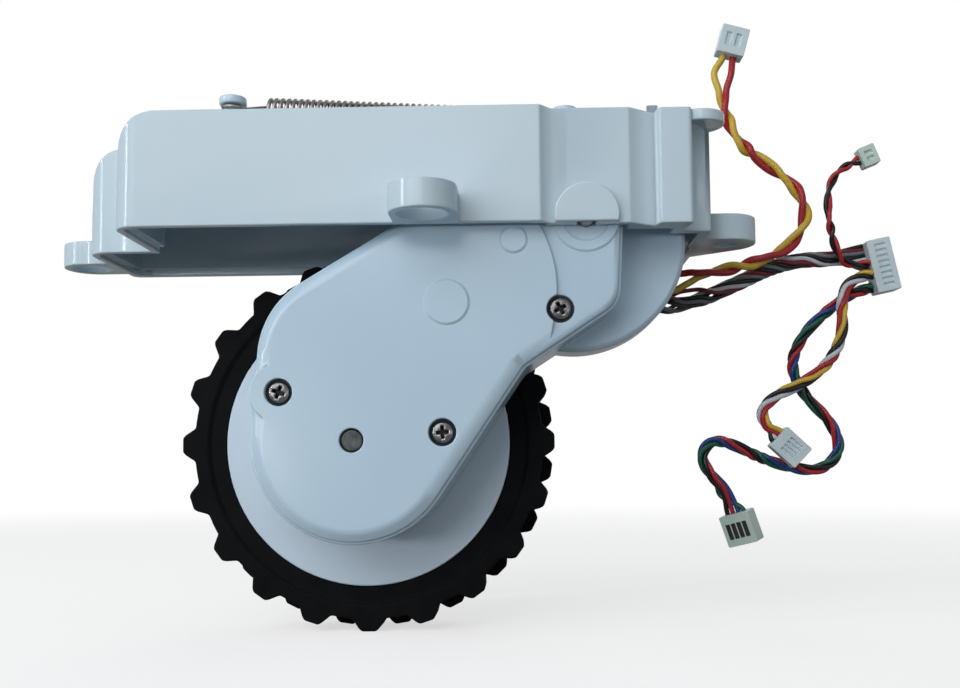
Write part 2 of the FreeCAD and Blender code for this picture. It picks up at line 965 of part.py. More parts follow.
for pin_x, pin_z in GEAR_PINS:
    cut(
        gear_cover,
        "XZ_Plane",
        "case_y - gear_pin_seat",
        "gear_pin_seat + 1",
        disc(pin_x, pin_z, "gear_pin + seat_gap"),
    )
cut(
    gear_cover,
    "XZ_Plane",
    "cover_y - 1",
    "cover_thick + 2",
    disc("wheel_dx", "wheel_dz", "shaft_radius + turning_gap"),
)
cut(
    gear_cover,
    "XZ_Plane",
    "case_y - bush_sink",
    "bush_sink + 1",
    disc("wheel_dx", "wheel_dz", "bush_radius + seat_gap"),
)

# Screws of the cover: one solid each, in one piece of the document

cover_screws = []
for index, (screw_x, screw_z) in enumerate(SCREWS, start=1):
    screw = body(f"cover_screw_{index}", f"pivot_x + {screw_x}", "cover_y", f"pivot_z + {screw_z}")
    turned(
        screw,
        ("0", "screw_sink - screw_head_thick"),
        ("screw_head", "screw_sink - screw_head_thick"),
        ("screw_head", "screw_sink - seat_gap"),
        ("screw_shank", "screw_sink - seat_gap"),
        ("screw_shank", "cover_thick"),
        ("screw_core - seat_gap", "cover_thick"),
        ("screw_core - seat_gap", "cover_thick + screw_length"),
        ("0", "cover_thick + screw_length"),
    )
    cover_screws.append(screw)
together("cover_screws", cover_screws)

# Gear pins

gear_pins = []
for index, (pin_x, pin_z) in enumerate(GEAR_PINS, start=1):
    pin = body(f"gear_pin_{index}", f"pivot_x + {pin_x}", "0", f"pivot_z + {pin_z}")
    turned(
        pin,
        ("0", "case_y - gear_pin_seat + seat_gap"),
        ("gear_pin", "case_y - gear_pin_seat + seat_gap"),
        ("gear_pin", "case_back_y + gear_pin_seat - seat_gap"),
        ("0", "case_back_y + gear_pin_seat - seat_gap"),
    )
    gear_pins.append(pin)
together("gear_pins", gear_pins)

# Gears


def gear_blank(teeth, module, turn, start, width):
    """A spur gear about the Y axis, its first tooth at an angle from +X towards +Z in degrees."""
    teeth = round(number(teeth))
    pitch = number(module) * teeth / 2
    addendum = 0.8 * number(module)
    tip = pitch + addendum
    root = pitch - 1.05 * number(module)
    base = pitch * math.cos(math.radians(25))
    half = math.pi / 2 / teeth - number("tooth_play") / (2 * pitch)

    def flank(radius):
        """How far round from the tooth's middle its flank is at a radius."""
        roll = math.sqrt(max(radius * radius / base / base - 1, 0))
        pitch_roll = math.tan(math.radians(25))
        return half + (pitch_roll - math.radians(25)) - (roll - math.atan(roll))

    def spot(radius, angle):
        return FreeCAD.Vector(radius * math.cos(angle), 0, radius * math.sin(angle))

    low = max(root, base)
    middle = (low + tip) / 2
    edges = []
    for tooth in range(teeth):
        axis = math.radians(number(turn)) + 2 * math.pi * tooth / teeth
        gap = axis + math.pi / teeth
        after = axis + 2 * math.pi / teeth
        rising = [spot(radius, axis - flank(radius)) for radius in (low, middle, tip)]
        falling = [spot(radius, axis + flank(radius)) for radius in (tip, middle, low)]
        edges.append(Part.Arc(*rising).toShape())
        edges.append(Part.LineSegment(rising[2], falling[0]).toShape())
        edges.append(Part.Arc(*falling).toShape())
        foot = spot(root, axis + flank(low))
        next_foot = spot(root, after - flank(low))
        if low > root + 0.001:
            edges.append(Part.LineSegment(falling[2], foot).toShape())
        edges.append(Part.Arc(foot, spot(root, gap), next_foot).toShape())
        if low > root + 0.001:
            edges.append(Part.LineSegment(next_foot, spot(low, after - flank(low))).toShape())
    outline = Part.Face(Part.Wire(edges))
    outline.translate(FreeCAD.Vector(0, number(start), 0))
    return outline.extrude(FreeCAD.Vector(0, number(width), 0))


def bar(radius, start, width):
    """A plain round bar along the Y axis."""
    return Part.makeCylinder(
        number(radius), number(width), FreeCAD.Vector(0, number(start), 0), FreeCAD.Vector(0, 1, 0)
    )


def shaped(name, shape, x="0", y="0", z="0"):
    """A piece whose shape is worked out here, in its own place."""
    piece = doc.addObject("Part::Feature", name)
    piece.Label = name
    piece.Shape = shape
    place(piece, x, y, z)
    return piece


# Layers of gears, counted from the cover: output, third, second, first
LAYERS = [f"case_y + layer_gap + {index} * layer" for index in range(4)]


def compound(name, wheel_teeth, wheel_module, wheel_turn, pinion_teeth, pinion_turn, level, x, z):
    """A gear and its smaller pinion in one, turning on a fixed pin."""
    wheel = gear_blank(wheel_teeth, wheel_module, wheel_turn, LAYERS[level], "face_width")
    pinion = gear_blank(pinion_teeth, "coarse_module", pinion_turn, LAYERS[level - 1], "layer + 0.1")
    bore = bar("gear_pin + turning_gap", LAYERS[level - 1] + " - 1", "3 * layer")
    both = wheel.fuse(pinion).cut(bore).removeSplitter()
    return shaped(name, both, f"pivot_x + {x}", "0", f"pivot_z + {z}")


def heading(from_x, from_z, to_x, to_z):
    """The angle of the line between two axes, in degrees."""
    return math.degrees(
        math.atan2(number(to_z) - number(from_z), number(to_x) - number(from_x))
    )


def meshed(teeth, line, mate_teeth, mate_turn):
    """The turn that puts a gap of this gear where the mate's tooth comes on the line between them."""
    mate_pitch = 360 / round(number(mate_teeth))
    own_pitch = 360 / round(number(teeth))
    mate_offset = ((line - mate_turn) % mate_pitch) / mate_pitch
    return line + 180 + own_pitch * (0.5 + mate_offset)


first_line = heading("0", "0", "first_x", "first_z")
second_line = heading("first_x", "first_z", "second_x", "second_z")
third_line = heading("second_x", "second_z", "third_x", "third_z")
output_line = heading("third_x", "third_z", "wheel_dx", "wheel_dz")
first_turn = meshed("first_teeth", first_line, "motor_teeth", 0)
second_turn = meshed("second_teeth", second_line, "first_pinion_teeth", 0)
third_turn = meshed("third_teeth", third_line, "second_pinion_teeth", 0)
output_turn = meshed("output_teeth", output_line, "third_pinion_teeth", 0)

compound(
    "first_gear", "first_teeth", "fine_module", str(first_turn), "first_pinion_teeth", "0", 3,
    "first_x", "first_z",
)
compound(
    "second_gear", "second_teeth", "coarse_module", str(second_turn), "second_pinion_teeth", "0", 2,
    "second_x", "second_z",
)
compound(
    "third_gear", "third_teeth", "coarse_module", str(third_turn), "third_pinion_teeth", "0", 1,
    "third_x", "third_z",
)
output_blank = gear_blank("output_teeth", "coarse_module", str(output_turn), LAYERS[0], "face_width")
shaped(
    "output_gear",
    output_blank.cut(bar("shaft_radius + seat_gap", LAYERS[0] + " - 1", "2 * layer")),
    "wheel_x",
    "0",
    "wheel_z",
)
motor_blank = gear_blank("motor_teeth", "fine_module", "0", LAYERS[3], "face_width")
shaped(
    "motor_pinion",
    motor_blank.cut(bar("motor_shaft + seat_gap", LAYERS[3] + " - 1", "2 * layer")),
    "pivot_x",
    "0",
    "pivot_z",
)

# Wheel

wheel_shaft = body("wheel_shaft", "wheel_x", "0", "wheel_z")
turned(
    wheel_shaft,
    ("0", "cover_y + shaft_recess"),
    ("shaft_radius - shaft_bevel", "cover_y + shaft_recess"),
    ("shaft_radius", "cover_y + shaft_recess + shaft_bevel"),
    ("shaft_radius", "wheel_y + hub_depth"),
    ("hub_screw_core", "wheel_y + hub_depth"),
    ("hub_screw_core", "wheel_y + hub_depth - hub_screw_length"),
    ("0", "wheel_y + hub_depth - hub_screw_length"),
)

front_bush = body("front_bush", "wheel_x", "0", "wheel_z")
turned(
    front_bush,
    ("shaft_radius + turning_gap", "case_y - bush_sink + seat_gap"),
    ("bush_radius", "case_y - bush_sink + seat_gap"),
    ("bush_radius", "case_y + layer_gap / 2"),
    ("shaft_radius + turning_gap", "case_y + layer_gap / 2"),
)
rear_bush = body("rear_bush", "wheel_x", "0", "wheel_z")
turned(
    rear_bush,
    ("shaft_radius + turning_gap", "case_back_y - 0.5"),
    ("bush_radius", "case_back_y - 0.5"),
    ("bush_radius", "barrel_y + seat_gap"),
    ("bush_flange", "barrel_y + seat_gap"),
    ("bush_flange", "barrel_y + bush_flange_thick"),
    ("shaft_radius + turning_gap", "barrel_y + bush_flange_thick"),
)

wheel_hub = body("wheel_hub", "wheel_x", "0", "wheel_z")
turned(
    wheel_hub,
    ("shaft_radius + seat_gap", "wheel_y"),
    ("hub_radius", "wheel_y"),
    ("hub_radius", "wheel_y + tyre_width - rim_step"),
    ("hub_radius - hub_rim", "wheel_y + tyre_width - rim_step"),
    ("hub_radius - hub_rim", "wheel_y + hub_web"),
    ("hub_core", "wheel_y + hub_web"),
    ("hub_core", "wheel_y + hub_depth"),
    ("shaft_radius + seat_gap", "wheel_y + hub_depth"),
)
rib = add(
    wheel_hub,
    "XZ_Plane",
    "wheel_y + hub_web / 2",
    "hub_rib_height",
    box("(hub_core + shaft_radius) / 2", "-hub_rib / 2", "hub_radius - hub_rim / 2", "hub_rib / 2"),
)
repeated(wheel_hub, [rib], "hub_ribs")

hub_screw = body("hub_screw", "wheel_x", "0", "wheel_z")
turned(
    hub_screw,
    ("0", "wheel_y + hub_depth - hub_screw_length + screw_play"),
    ("hub_screw_core - seat_gap", "wheel_y + hub_depth - hub_screw_length + screw_play"),
    ("hub_screw_core - seat_gap", "wheel_y + hub_depth + seat_gap"),
    ("hub_screw_head", "wheel_y + hub_depth + seat_gap"),
    ("hub_screw_head", "wheel_y + hub_depth + hub_screw_head_thick - hub_screw_bevel"),
    ("hub_screw_head - hub_screw_bevel", "wheel_y + hub_depth + hub_screw_head_thick"),
    ("0", "wheel_y + hub_depth + hub_screw_head_thick"),
)

wheel_tyre = body("wheel_tyre", "wheel_x", "0", "wheel_z")
turned(
    wheel_tyre,
    ("hub_radius + seat_gap", "wheel_y + sidewall_step"),
    ("hub_radius + sidewall_ring", "wheel_y + sidewall_step"),
    ("hub_radius + sidewall_ring + sidewall_step", "wheel_y"),
    ("tyre_radius - lug_height", "wheel_y"),
    ("tyre_radius - lug_height", "wheel_y + tyre_width"),
    ("hub_radius + sidewall_ring", "wheel_y + tyre_width"),
    ("hub_radius + seat_gap", "wheel_y + tyre_width - sidewall_step"),
)


def lug_row(start, turn):
    """A row of tread lugs round the tyre: blocks with bevelled tops, wider at the foot."""
    sketch_outline = belt(
        ("tyre_radius - lug_height - lug_root", "-lug_foot / 2"),
        ("tyre_radius - lug_bevel", "-(lug_top + lug_bevel) / 2"),
        ("tyre_radius", "-(lug_top - lug_bevel) / 2"),
        ("tyre_radius", "(lug_top - lug_bevel) / 2"),
        ("tyre_radius - lug_bevel", "(lug_top + lug_bevel) / 2"),
        ("tyre_radius - lug_height - lug_root", "lug_foot / 2"),
    )
    block = add(wheel_tyre, "XZ_Plane", start, "(tyre_width - lug_rows_gap) / 2", sketch_outline)
    bound(block.Profile[0], "AttachmentOffset.Rotation.Angle", turn)
    doc.recompute()
    repeated(wheel_tyre, [block], "lugs")


lug_row("wheel_y", "0")
lug_row("wheel_y + (tyre_width + lug_rows_gap) / 2", "180 / lugs")

# Motor

motor_can = body("motor_can", "pivot_x", "0", "pivot_z")
turned(
    motor_can,
    ("motor_shaft + motor_gap", "case_back_y + motor_gap"),
    ("motor_collar", "case_back_y + motor_gap"),
    ("motor_collar", "barrel_y + seat_gap"),
    ("motor_radius - 1", "barrel_y + seat_gap"),
    ("motor_radius", "barrel_y + 1"),
    ("motor_radius", "barrel_y + motor_length"),
    ("motor_shaft + motor_gap", "barrel_y + motor_length"),
)
motor_shaft_piece = body("motor_shaft", "pivot_x", "0", "pivot_z")
turned(
    motor_shaft_piece,
    ("0", "case_y + 3 * layer"),
    ("motor_shaft", "case_y + 3 * layer"),
    ("motor_shaft", "barrel_y + motor_length + magnet_gap + magnet_thick"),
    ("0", "barrel_y + motor_length + magnet_gap + magnet_thick"),
)
encoder_magnet = body("encoder_magnet", "pivot_x", "0", "pivot_z")
turned(
    encoder_magnet,
    ("motor_shaft + seat_gap", "barrel_y + motor_length + magnet_gap"),
    ("magnet_radius", "barrel_y + motor_length + magnet_gap"),
    ("magnet_radius", "barrel_y + motor_length + magnet_gap + magnet_thick"),
    ("motor_shaft + seat_gap", "barrel_y + motor_length + magnet_gap + magnet_thick"),
)
encoder_board = body("encoder_board", "pivot_x", "0", "pivot_z")
turned(
    encoder_board,
    ("0", "board_y"),
    ("motor_radius - seat_gap", "board_y"),
    ("motor_radius - seat_gap", "board_y + board_thick"),
    ("0", "board_y + board_thick"),
)
end_cap = body("end_cap", "pivot_x", "0", "pivot_z")
turned(
    end_cap,
    ("0", "cap_y + seat_gap"),
    ("barrel_radius", "cap_y + seat_gap"),
    ("barrel_radius", "barrel_end_y - end_cap_bevel"),
    ("barrel_radius - end_cap_bevel", "barrel_end_y"),
    ("0", "barrel_end_y"),
)
pivot_bore = disc("0", "0", "pivot_radius + seat_gap")
cut(end_cap, "XZ_Plane", "cap_y + pivot_end_gap", "end_cap_thick", pivot_bore)

# Pivots

front_pivot_pin = body("front_pivot_pin", "pivot_x", "0", "pivot_z")
turned(
    front_pivot_pin,
    ("0", "near_y + recess_depth - pivot_end_gap"),
    ("pivot_radius", "near_y + recess_depth - pivot_end_gap"),
    ("pivot_radius", "case_y + pivot_grip"),
    ("0", "case_y + pivot_grip"),
)
rear_pivot_screw = body("rear_pivot_screw", "pivot_x", "0", "pivot_z")
turned(
    rear_pivot_screw,
    ("0", "cap_y + 2 * pivot_end_gap"),
    ("pivot_radius", "cap_y + 2 * pivot_end_gap"),
    ("pivot_radius", "far_y + turning_gap"),
    ("pivot_head", "far_y + turning_gap"),
    ("pivot_head", "far_y + pivot_head_thick - head_bevel"),
    ("pivot_head - head_bevel", "far_y + pivot_head_thick"),
    ("0", "far_y + pivot_head_thick"),
)

# Spring: close coils, each a ridge here, between two straight ends with a loop on each

anchor_end = FreeCAD.Vector(
    number("anchor_x"), number("spring_y"), number("housing_height + anchor_loop_rise")
)
lever_end = FreeCAD.Vector(
    number("pivot_x + lever_x"), number("spring_y"), number("pivot_z + lever_z + 0.1")
)
spring_line = (lever_end - anchor_end).normalize()
wire_radius = number("spring_wire") / 2
loop_radius = number("anchor_neck") + wire_radius + number("loop_play")
end_gap = number("spring_end_gap")
coils_start = anchor_end + spring_line * end_gap
coils_end = lever_end - spring_line * end_gap
coil_run = (coils_end - coils_start).Length
coil_count = round(coil_run / number("spring_pitch"))
crest = number("spring_radius")
groove = crest - wire_radius
profile = [FreeCAD.Vector(0, 0, 0), FreeCAD.Vector(groove, 0, 0)]
for coil in range(coil_count):
    profile.append(FreeCAD.Vector(crest, 0, coil_run * (coil + 0.5) / coil_count))
    profile.append(FreeCAD.Vector(groove, 0, coil_run * (coil + 1) / coil_count))
profile += [FreeCAD.Vector(0, 0, coil_run), FreeCAD.Vector(0, 0, 0)]
coils = Part.Face(Part.makePolygon(profile)).revolve(
    FreeCAD.Vector(0, 0, 0), FreeCAD.Vector(0, 0, 1), 360
)
coils.Placement = FreeCAD.Placement(
    coils_start, FreeCAD.Rotation(FreeCAD.Vector(0, 0, 1), spring_line)
)
spring_parts = []
for end, toward in ((anchor_end, spring_line), (lever_end, spring_line * -1)):
    spring_parts.append(Part.makeTorus(loop_radius, wire_radius, end, FreeCAD.Vector(0, 0, 1)))
    tail_start = end + toward * loop_radius
    spring_parts.append(Part.makeCylinder(wire_radius, end_gap - loop_radius + 0.5, tail_start, toward))
shaped("suspension_spring", coils.multiFuse(spring_parts).removeSplitter())

# Leads, each a route of hand-chosen points, and the grommet and connectors on them

LEAD_ROUTES = {
    "motor_lead": (
        (111.8, 1.0, -3.4),
        (118.2, 1.0, -3.4),
        (125.6, 0.4, -2.2),
        (133.4, -0.4, -0.8),
        (140.6, -0.6, 2.0),
        (145.0, -0.2, 8.2),
        (143.2, 0.4, 14.8),
        (137.6, 1.0, 19.6),
        (131.6, 1.0, 24.2),
        (128.8, 1.0, 30.8),
        (128.4, 1.0, 37.0),
        (129.9, 1.0, 42.4),
    ),
    "main_lead": (
        (111.8, 2.4, -8.4),
        (117.4, 2.4, -8.4),
        (124.0, 2.8, -7.0),
        (131.0, 2.9, -4.2),
        (137.6, 2.9, -1.0),
        (144.0, 2.9, 0.6),
        (150.5, 2.9, 0.5),
        (156.84, 2.9, 1.81),
    ),
    "sensor_lead": (
        (157.39, 1.2, -0.62),
        (153.0, 1.2, -1.55),
        (150.0, -0.8, 1.8),
        (148.9, -1.2, 6.6),
        (148.7, -0.6, 11.6),
        (149.6, 0.0, 15.8),
        (152.1, 0.0, 18.8),
        (155.6, 0.0, 20.2),
    ),
    "inline_lead": (
        (157.82, 1.5, -2.78),
        (153.0, 1.5, -3.8),
        (151.2, 0.6, -9.0),
        (151.4, 0.2, -14.8),
        (148.6, 0.2, -20.8),
        (143.0, 0.2, -25.0),
        (137.0, 0.2, -27.4),
        (133.6, 0.2, -31.6),
        (137.6, 0.2, -35.4),
    ),
    "four_way_lead": (
        (158.39, 3.2, -5.32),
        (154.0, 3.2, -6.26),
        (149.4, 3.8, -9.8),
        (144.4, 4.2, -14.4),
        (141.4, 4.2, -21.0),
        (144.4, 4.2, -27.4),
        (149.6, 4.2, -32.4),
        (151.6, 4.2, -38.4),
        (147.2, 4.2, -42.6),
        (140.6, 4.2, -41.6),
        (134.4, 4.0, -39.4),
        (129.4, 3.4, -36.8),
        (125.0, 3.0, -35.8),
        (122.6, 3.0, -39.2),
        (124.8, 3.0, -43.2),
        (128.2, 3.0, -46.4),
        (129.6, 3.0, -50.6),
    ),
}


def lead(name, across):
    """A plain tube along a route of straight runs joined by arcs, each as large as its runs allow."""
    points = [FreeCAD.Vector(*point) for point in LEAD_ROUTES[name]]
    edges = []
    radii = []
    here = points[0]
    for before, corner, after in zip(points, points[1:], points[2:]):
        into = (corner - before).normalize()
        out = (after - corner).normalize()
        turn = into.getAngle(out)
        back = 0.45 * min((corner - before).Length, (after - corner).Length)
        radii.append(back / math.tan(turn / 2))
        start = corner - into * back
        end = corner + out * back
        middle_way = (out - into).normalize()
        middle = corner + middle_way * (radii[-1] / math.cos(turn / 2) - radii[-1])
        edges.append(Part.LineSegment(here, start).toShape())
        edges.append(Part.Arc(start, middle, end).toShape())
        here = end
    edges.append(Part.LineSegment(here, points[-1]).toShape())
    path = Part.Wire(edges)
    ring = Part.Wire(Part.Circle(points[0], points[1] - points[0], number(across) / 2).toShape())
    tube = path.makePipeShell([ring], True, False)
    expected = math.pi * (number(across) / 2) ** 2 * path.Length
    print(name, "length", round(path.Length, 1), "radii", [round(radius, 1) for radius in radii])
    if abs(tube.Volume / expected - 1) > 0.01:
        raise RuntimeError(f"{name} has volume {tube.Volume}, not {expected}")
    return shaped(name, tube)


def connector(name, face, heading_point, ways, pitch, deep, thick, roll=0):
    """A block with a row of contact windows, its wire face at face and turned away from heading_point."""
    length = f"{ways} * {pitch} + 2 * connector_end"
    piece = body(name)
    add(
        piece,
        "XZ_Plane",
        f"-{thick} / 2",
        thick,
        box("0", f"-({length}) / 2", deep, f"({length}) / 2", "0.3"),
    )
    rows = [f"({way + 0.5} * {pitch} - {ways} * {pitch} / 2)" for way in range(ways)]
    windows = [
        box(f"0.3 * {deep}", f"{row} - 0.28 * {pitch}", f"0.75 * {deep}", f"{row} + 0.28 * {pitch}")
        for row in rows
    ]
    cut(piece, "XZ_Plane", f"-{thick} / 2 - 1", "1.5", *windows)
    along = FreeCAD.Vector(*face) - FreeCAD.Vector(*heading_point)
    angle = math.degrees(math.atan2(-along.z, along.x))
    turn = FreeCAD.Rotation(FreeCAD.Vector(0, 1, 0), angle)
    own = FreeCAD.Rotation(FreeCAD.Vector(1, 0, 0), roll)
    piece.Placement = FreeCAD.Placement(FreeCAD.Vector(*face), turn * own)
    for axis, value in zip("xyz", face):
        bound(piece, f"Placement.Base.{axis}", str(value))


lead("motor_lead", "motor_lead_across")
lead("main_lead", "main_lead_across")
lead("sensor_lead", "sensor_lead_across")
lead("inline_lead", "branch_lead_across")
lead("four_way_lead", "branch_lead_across")

grommet = body("lead_grommet", "pivot_x", "0", "pivot_z")
add(
    grommet,
    "XZ_Plane",
    "cap_y - window_deep + grommet_play",
    "window_deep - 2 * grommet_play",
    box(
        "motor_radius + motor_gap + grommet_play",
        "window_low + grommet_play",
        "barrel_radius - motor_gap",
        "window_high - grommet_play",
    ),
)

connector("motor_connector", *LEAD_ROUTES["motor_lead"][:-3:-1], 2, "2.0", "5.8", "3.8")
connector("sensor_connector", *LEAD_ROUTES["sensor_lead"][:-3:-1], 2, "1.25", "3.4", "2.8")
connector("inline_connector", *LEAD_ROUTES["inline_lead"][:-3:-1], 4, "0.9", "6.6", "2.8")
connector("four_way_connector", *LEAD_ROUTES["four_way_lead"][:-3:-1], 4, "1.25", "6.4", "3.2", 40)
connector("main_connector", (157.6, 2.4, -1.6), (156.622, 2.4, -1.808), 8, "1.15", "4.8", "4.4")

# Everything is worked out, looked over and written to its own file.

doc.recompute()
os.makedirs("parts", exist_ok=True)
for thing in doc.Objects:
    if "Invalid" in thing.State or "Error" in thing.State:
        raise RuntimeError(f"{thing.Name} ({thing.Label}) failed: {thing.State}")

KINDS = ("PartDesign::Body", "Part::Feature", "Part::Compound")
nodes = [thing for thing in doc.Objects if thing.TypeId in KINDS and thing not in grouped]
for node in nodes:
    if node.Shape.isNull() or not node.Shape.isValid():
        raise RuntimeError(f"{node.Label} has no valid shape")
    node.Shape.exportStep(f"parts/{node.Label}.step")
    print(node.Label, len(node.Shape.Solids), round(node.Shape.Volume, 1))
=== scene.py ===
"""Looks of a robot vacuum's drive wheel module, in metres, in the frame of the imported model.

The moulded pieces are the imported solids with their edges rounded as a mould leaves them. The spring, the
screws and the twisted leads are made here in full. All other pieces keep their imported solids.
"""

import json
import math

import bmesh
import bpy
from mathutils import Matrix, Vector


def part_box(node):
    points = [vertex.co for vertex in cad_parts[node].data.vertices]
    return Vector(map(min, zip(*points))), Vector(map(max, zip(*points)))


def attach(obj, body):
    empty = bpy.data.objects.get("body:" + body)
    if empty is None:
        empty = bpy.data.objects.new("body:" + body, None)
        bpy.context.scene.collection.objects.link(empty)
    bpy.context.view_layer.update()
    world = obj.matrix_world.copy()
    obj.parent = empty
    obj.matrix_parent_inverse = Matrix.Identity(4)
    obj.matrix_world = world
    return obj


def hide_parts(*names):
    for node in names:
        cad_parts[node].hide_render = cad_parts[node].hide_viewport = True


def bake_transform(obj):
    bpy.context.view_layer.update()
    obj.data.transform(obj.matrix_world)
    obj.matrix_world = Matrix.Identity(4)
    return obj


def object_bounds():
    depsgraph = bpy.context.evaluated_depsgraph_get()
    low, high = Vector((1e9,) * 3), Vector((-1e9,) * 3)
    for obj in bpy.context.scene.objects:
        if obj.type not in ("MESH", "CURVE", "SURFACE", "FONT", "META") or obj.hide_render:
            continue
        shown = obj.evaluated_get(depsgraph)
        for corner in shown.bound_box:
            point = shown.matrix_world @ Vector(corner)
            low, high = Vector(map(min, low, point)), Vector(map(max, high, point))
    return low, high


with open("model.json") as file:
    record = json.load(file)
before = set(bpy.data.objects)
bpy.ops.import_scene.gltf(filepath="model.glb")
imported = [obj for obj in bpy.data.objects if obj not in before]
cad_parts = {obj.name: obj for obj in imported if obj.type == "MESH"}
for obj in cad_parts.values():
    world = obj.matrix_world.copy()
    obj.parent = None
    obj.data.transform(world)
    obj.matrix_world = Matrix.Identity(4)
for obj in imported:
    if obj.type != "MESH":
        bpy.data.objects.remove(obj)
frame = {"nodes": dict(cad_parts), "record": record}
cad_low, cad_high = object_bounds()

# Camera
# It stands in front of the gearcase cover, below the housing's edge, and looks slightly up and to the
# left, as the photograph does.

camera_data = bpy.data.cameras.new("camera")
camera_data.lens = 39.486
camera_data.sensor_width = 36.0
camera_data.clip_start = 0.01
PICTURE_WIDTH = 960
PIXELS_ASIDE = -20
PIXELS_UP = 60
camera_data.shift_x = PIXELS_ASIDE / PICTURE_WIDTH
camera_data.shift_y = PIXELS_UP / PICTURE_WIDTH
camera_place = (0.0859, -0.2107, -0.0410)
turned_left, tipped_up, leaning = (math.radians(angle) for angle in (0.948, 3.443, -0.63))
camera = bpy.data.objects.new("camera", camera_data)
bpy.context.scene.collection.objects.link(camera)
camera.matrix_world = (
    Matrix.Translation(camera_place)
    @ Matrix.Rotation(turned_left, 4, "Z")
    @ Matrix.Rotation(math.pi / 2 + tipped_up, 4, "X")
    @ Matrix.Rotation(leaning, 4, "Z")
)
bpy.context.scene.camera = camera

# Housing
# The tray that screws to the robot by its three ears, injection moulded in glossy white plastic. Its edges
# carry the small radii of the mould, and its flat walls the faint mottle of a polished tool.


def finish(
    name, colour, mottle, mottle_size, roughness, swing, grain_size, grain_depth, metal=0.0, shine=0.5
):
    """A material whose colour wanders towards mottle, with uneven gloss and a fine grain.

    The patches are about mottle_size across, and the gloss swings with them by swing about roughness.
    The grain is a bump of grain_depth in steps of grain_size.
    """
    material = bpy.data.materials.new(name)
    material.use_nodes = True
    nodes, links = material.node_tree.nodes, material.node_tree.links
    shader = nodes["Principled BSDF"]
    shader.inputs["Metallic"].default_value = metal
    shader.inputs["Specular IOR Level"].default_value = shine
    place = nodes.new("ShaderNodeTexCoord")
    patches = nodes.new("ShaderNodeTexNoise")
    patches.inputs["Scale"].default_value = 1 / mottle_size
    patches.inputs["Detail"].default_value = 4.0
    blend = nodes.new("ShaderNodeValToRGB")
    blend.color_ramp.elements[0].position = 0.3
    blend.color_ramp.elements[0].color = (*colour, 1)
    blend.color_ramp.elements[1].position = 0.75
    blend.color_ramp.elements[1].color = (*mottle, 1)
    gloss = nodes.new("ShaderNodeMapRange")
    gloss.inputs["To Min"].default_value = roughness - swing
    gloss.inputs["To Max"].default_value = roughness + swing
    grain = nodes.new("ShaderNodeTexNoise")
    grain.inputs["Scale"].default_value = 1 / grain_size
    grain.inputs["Detail"].default_value = 3.0
    bump = nodes.new("ShaderNodeBump")
    bump.inputs["Strength"].default_value = 0.6
    bump.inputs["Distance"].default_value = grain_depth
    links.new(place.outputs["Object"], patches.inputs["Vector"])
    links.new(place.outputs["Object"], grain.inputs["Vector"])
    links.new(patches.outputs["Fac"], blend.inputs["Fac"])
    links.new(blend.outputs["Color"], shader.inputs["Base Color"])
    links.new(patches.outputs["Fac"], gloss.inputs["Value"])
    links.new(gloss.outputs["Result"], shader.inputs["Roughness"])
    links.new(grain.outputs["Fac"], bump.inputs["Height"])
    links.new(bump.outputs["Normal"], shader.inputs["Normal"])
    return material


def bake(piece):
    """Turns a piece's live modifiers into its plain mesh."""
    made = piece.evaluated_get(bpy.context.evaluated_depsgraph_get())
    mesh = bpy.data.meshes.new_from_object(made)
    piece.modifiers.clear()
    piece.data = mesh
    return piece


def carry(piece, *nodes):
    """Gives a piece the body of the nodes it stands for, and hides those nodes."""
    record = frame["record"]
    bodies = record["behaviour"]["bodies"]
    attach(piece, next(body for body, members in bodies.items() if nodes[0] in members))
    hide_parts(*nodes)
    return piece


SAME_POINT = 1e-6
SAME_PLANE = math.radians(0.4)


def moulded(node, rounding, material, sharp=35, inner=True, crisp=()):
    """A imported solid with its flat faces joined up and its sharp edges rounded.

    Edges of less than sharp degrees stay as they are, and so do those in the crisp box and, if inner is
    off, the ones in inside corners.
    """
    edit = bmesh.new()
    edit.from_mesh(frame["nodes"][node].data)
    bmesh.ops.remove_doubles(edit, verts=edit.verts, dist=SAME_POINT)
    bmesh.ops.dissolve_limit(edit, angle_limit=SAME_PLANE, verts=edit.verts, edges=edit.edges)
    for face in edit.faces:
        face.smooth = True
    rounded = edit.edges.layers.float.new("bevel_weight_edge")
    for edge in edit.edges:
        middle = (edge.verts[0].co + edge.verts[1].co) / 2
        kept = crisp and all(low < at < high for low, at, high in zip(crisp[0], middle, crisp[1]))
        flat = edge.calc_face_angle(0.0) < math.radians(sharp)
        edge[rounded] = 0.0 if kept or flat or not (inner or edge.is_convex) else 1.0
    mesh = bpy.data.meshes.new(f"{node}_moulding")
    edit.to_mesh(mesh)
    edit.free()
    if "custom_normal" in mesh.attributes:
        mesh.attributes.remove(mesh.attributes["custom_normal"])
    mesh.materials.append(material)
    piece = bpy.data.objects.new(f"{node}_moulding", mesh)
    bpy.context.scene.collection.objects.link(piece)
    edges = piece.modifiers.new("Edges", "BEVEL")
    edges.width = rounding
    edges.segments = 2
    edges.limit_method = "WEIGHT"
    edges.use_clamp_overlap = False
    edges.loop_slide = False
    evened = piece.modifiers.new("Evened", "WEIGHTED_NORMAL")
    evened.keep_sharp = True
    return carry(bake(piece), node)


white_plastic = finish(
    "white_plastic", (0.57, 0.71, 0.80), (0.54, 0.685, 0.785),
    mottle_size=0.03, roughness=0.19, swing=0.05, grain_size=0.0006, grain_depth=0.000005,
)
# The small bump on the roof keeps its edges crisp
bump_box = ((0.1085, -0.0310, 0.0150), (0.1115, -0.0260, 0.0300))
moulded("housing", 0.0003, white_plastic, sharp=25, inner=False, crisp=bump_box)

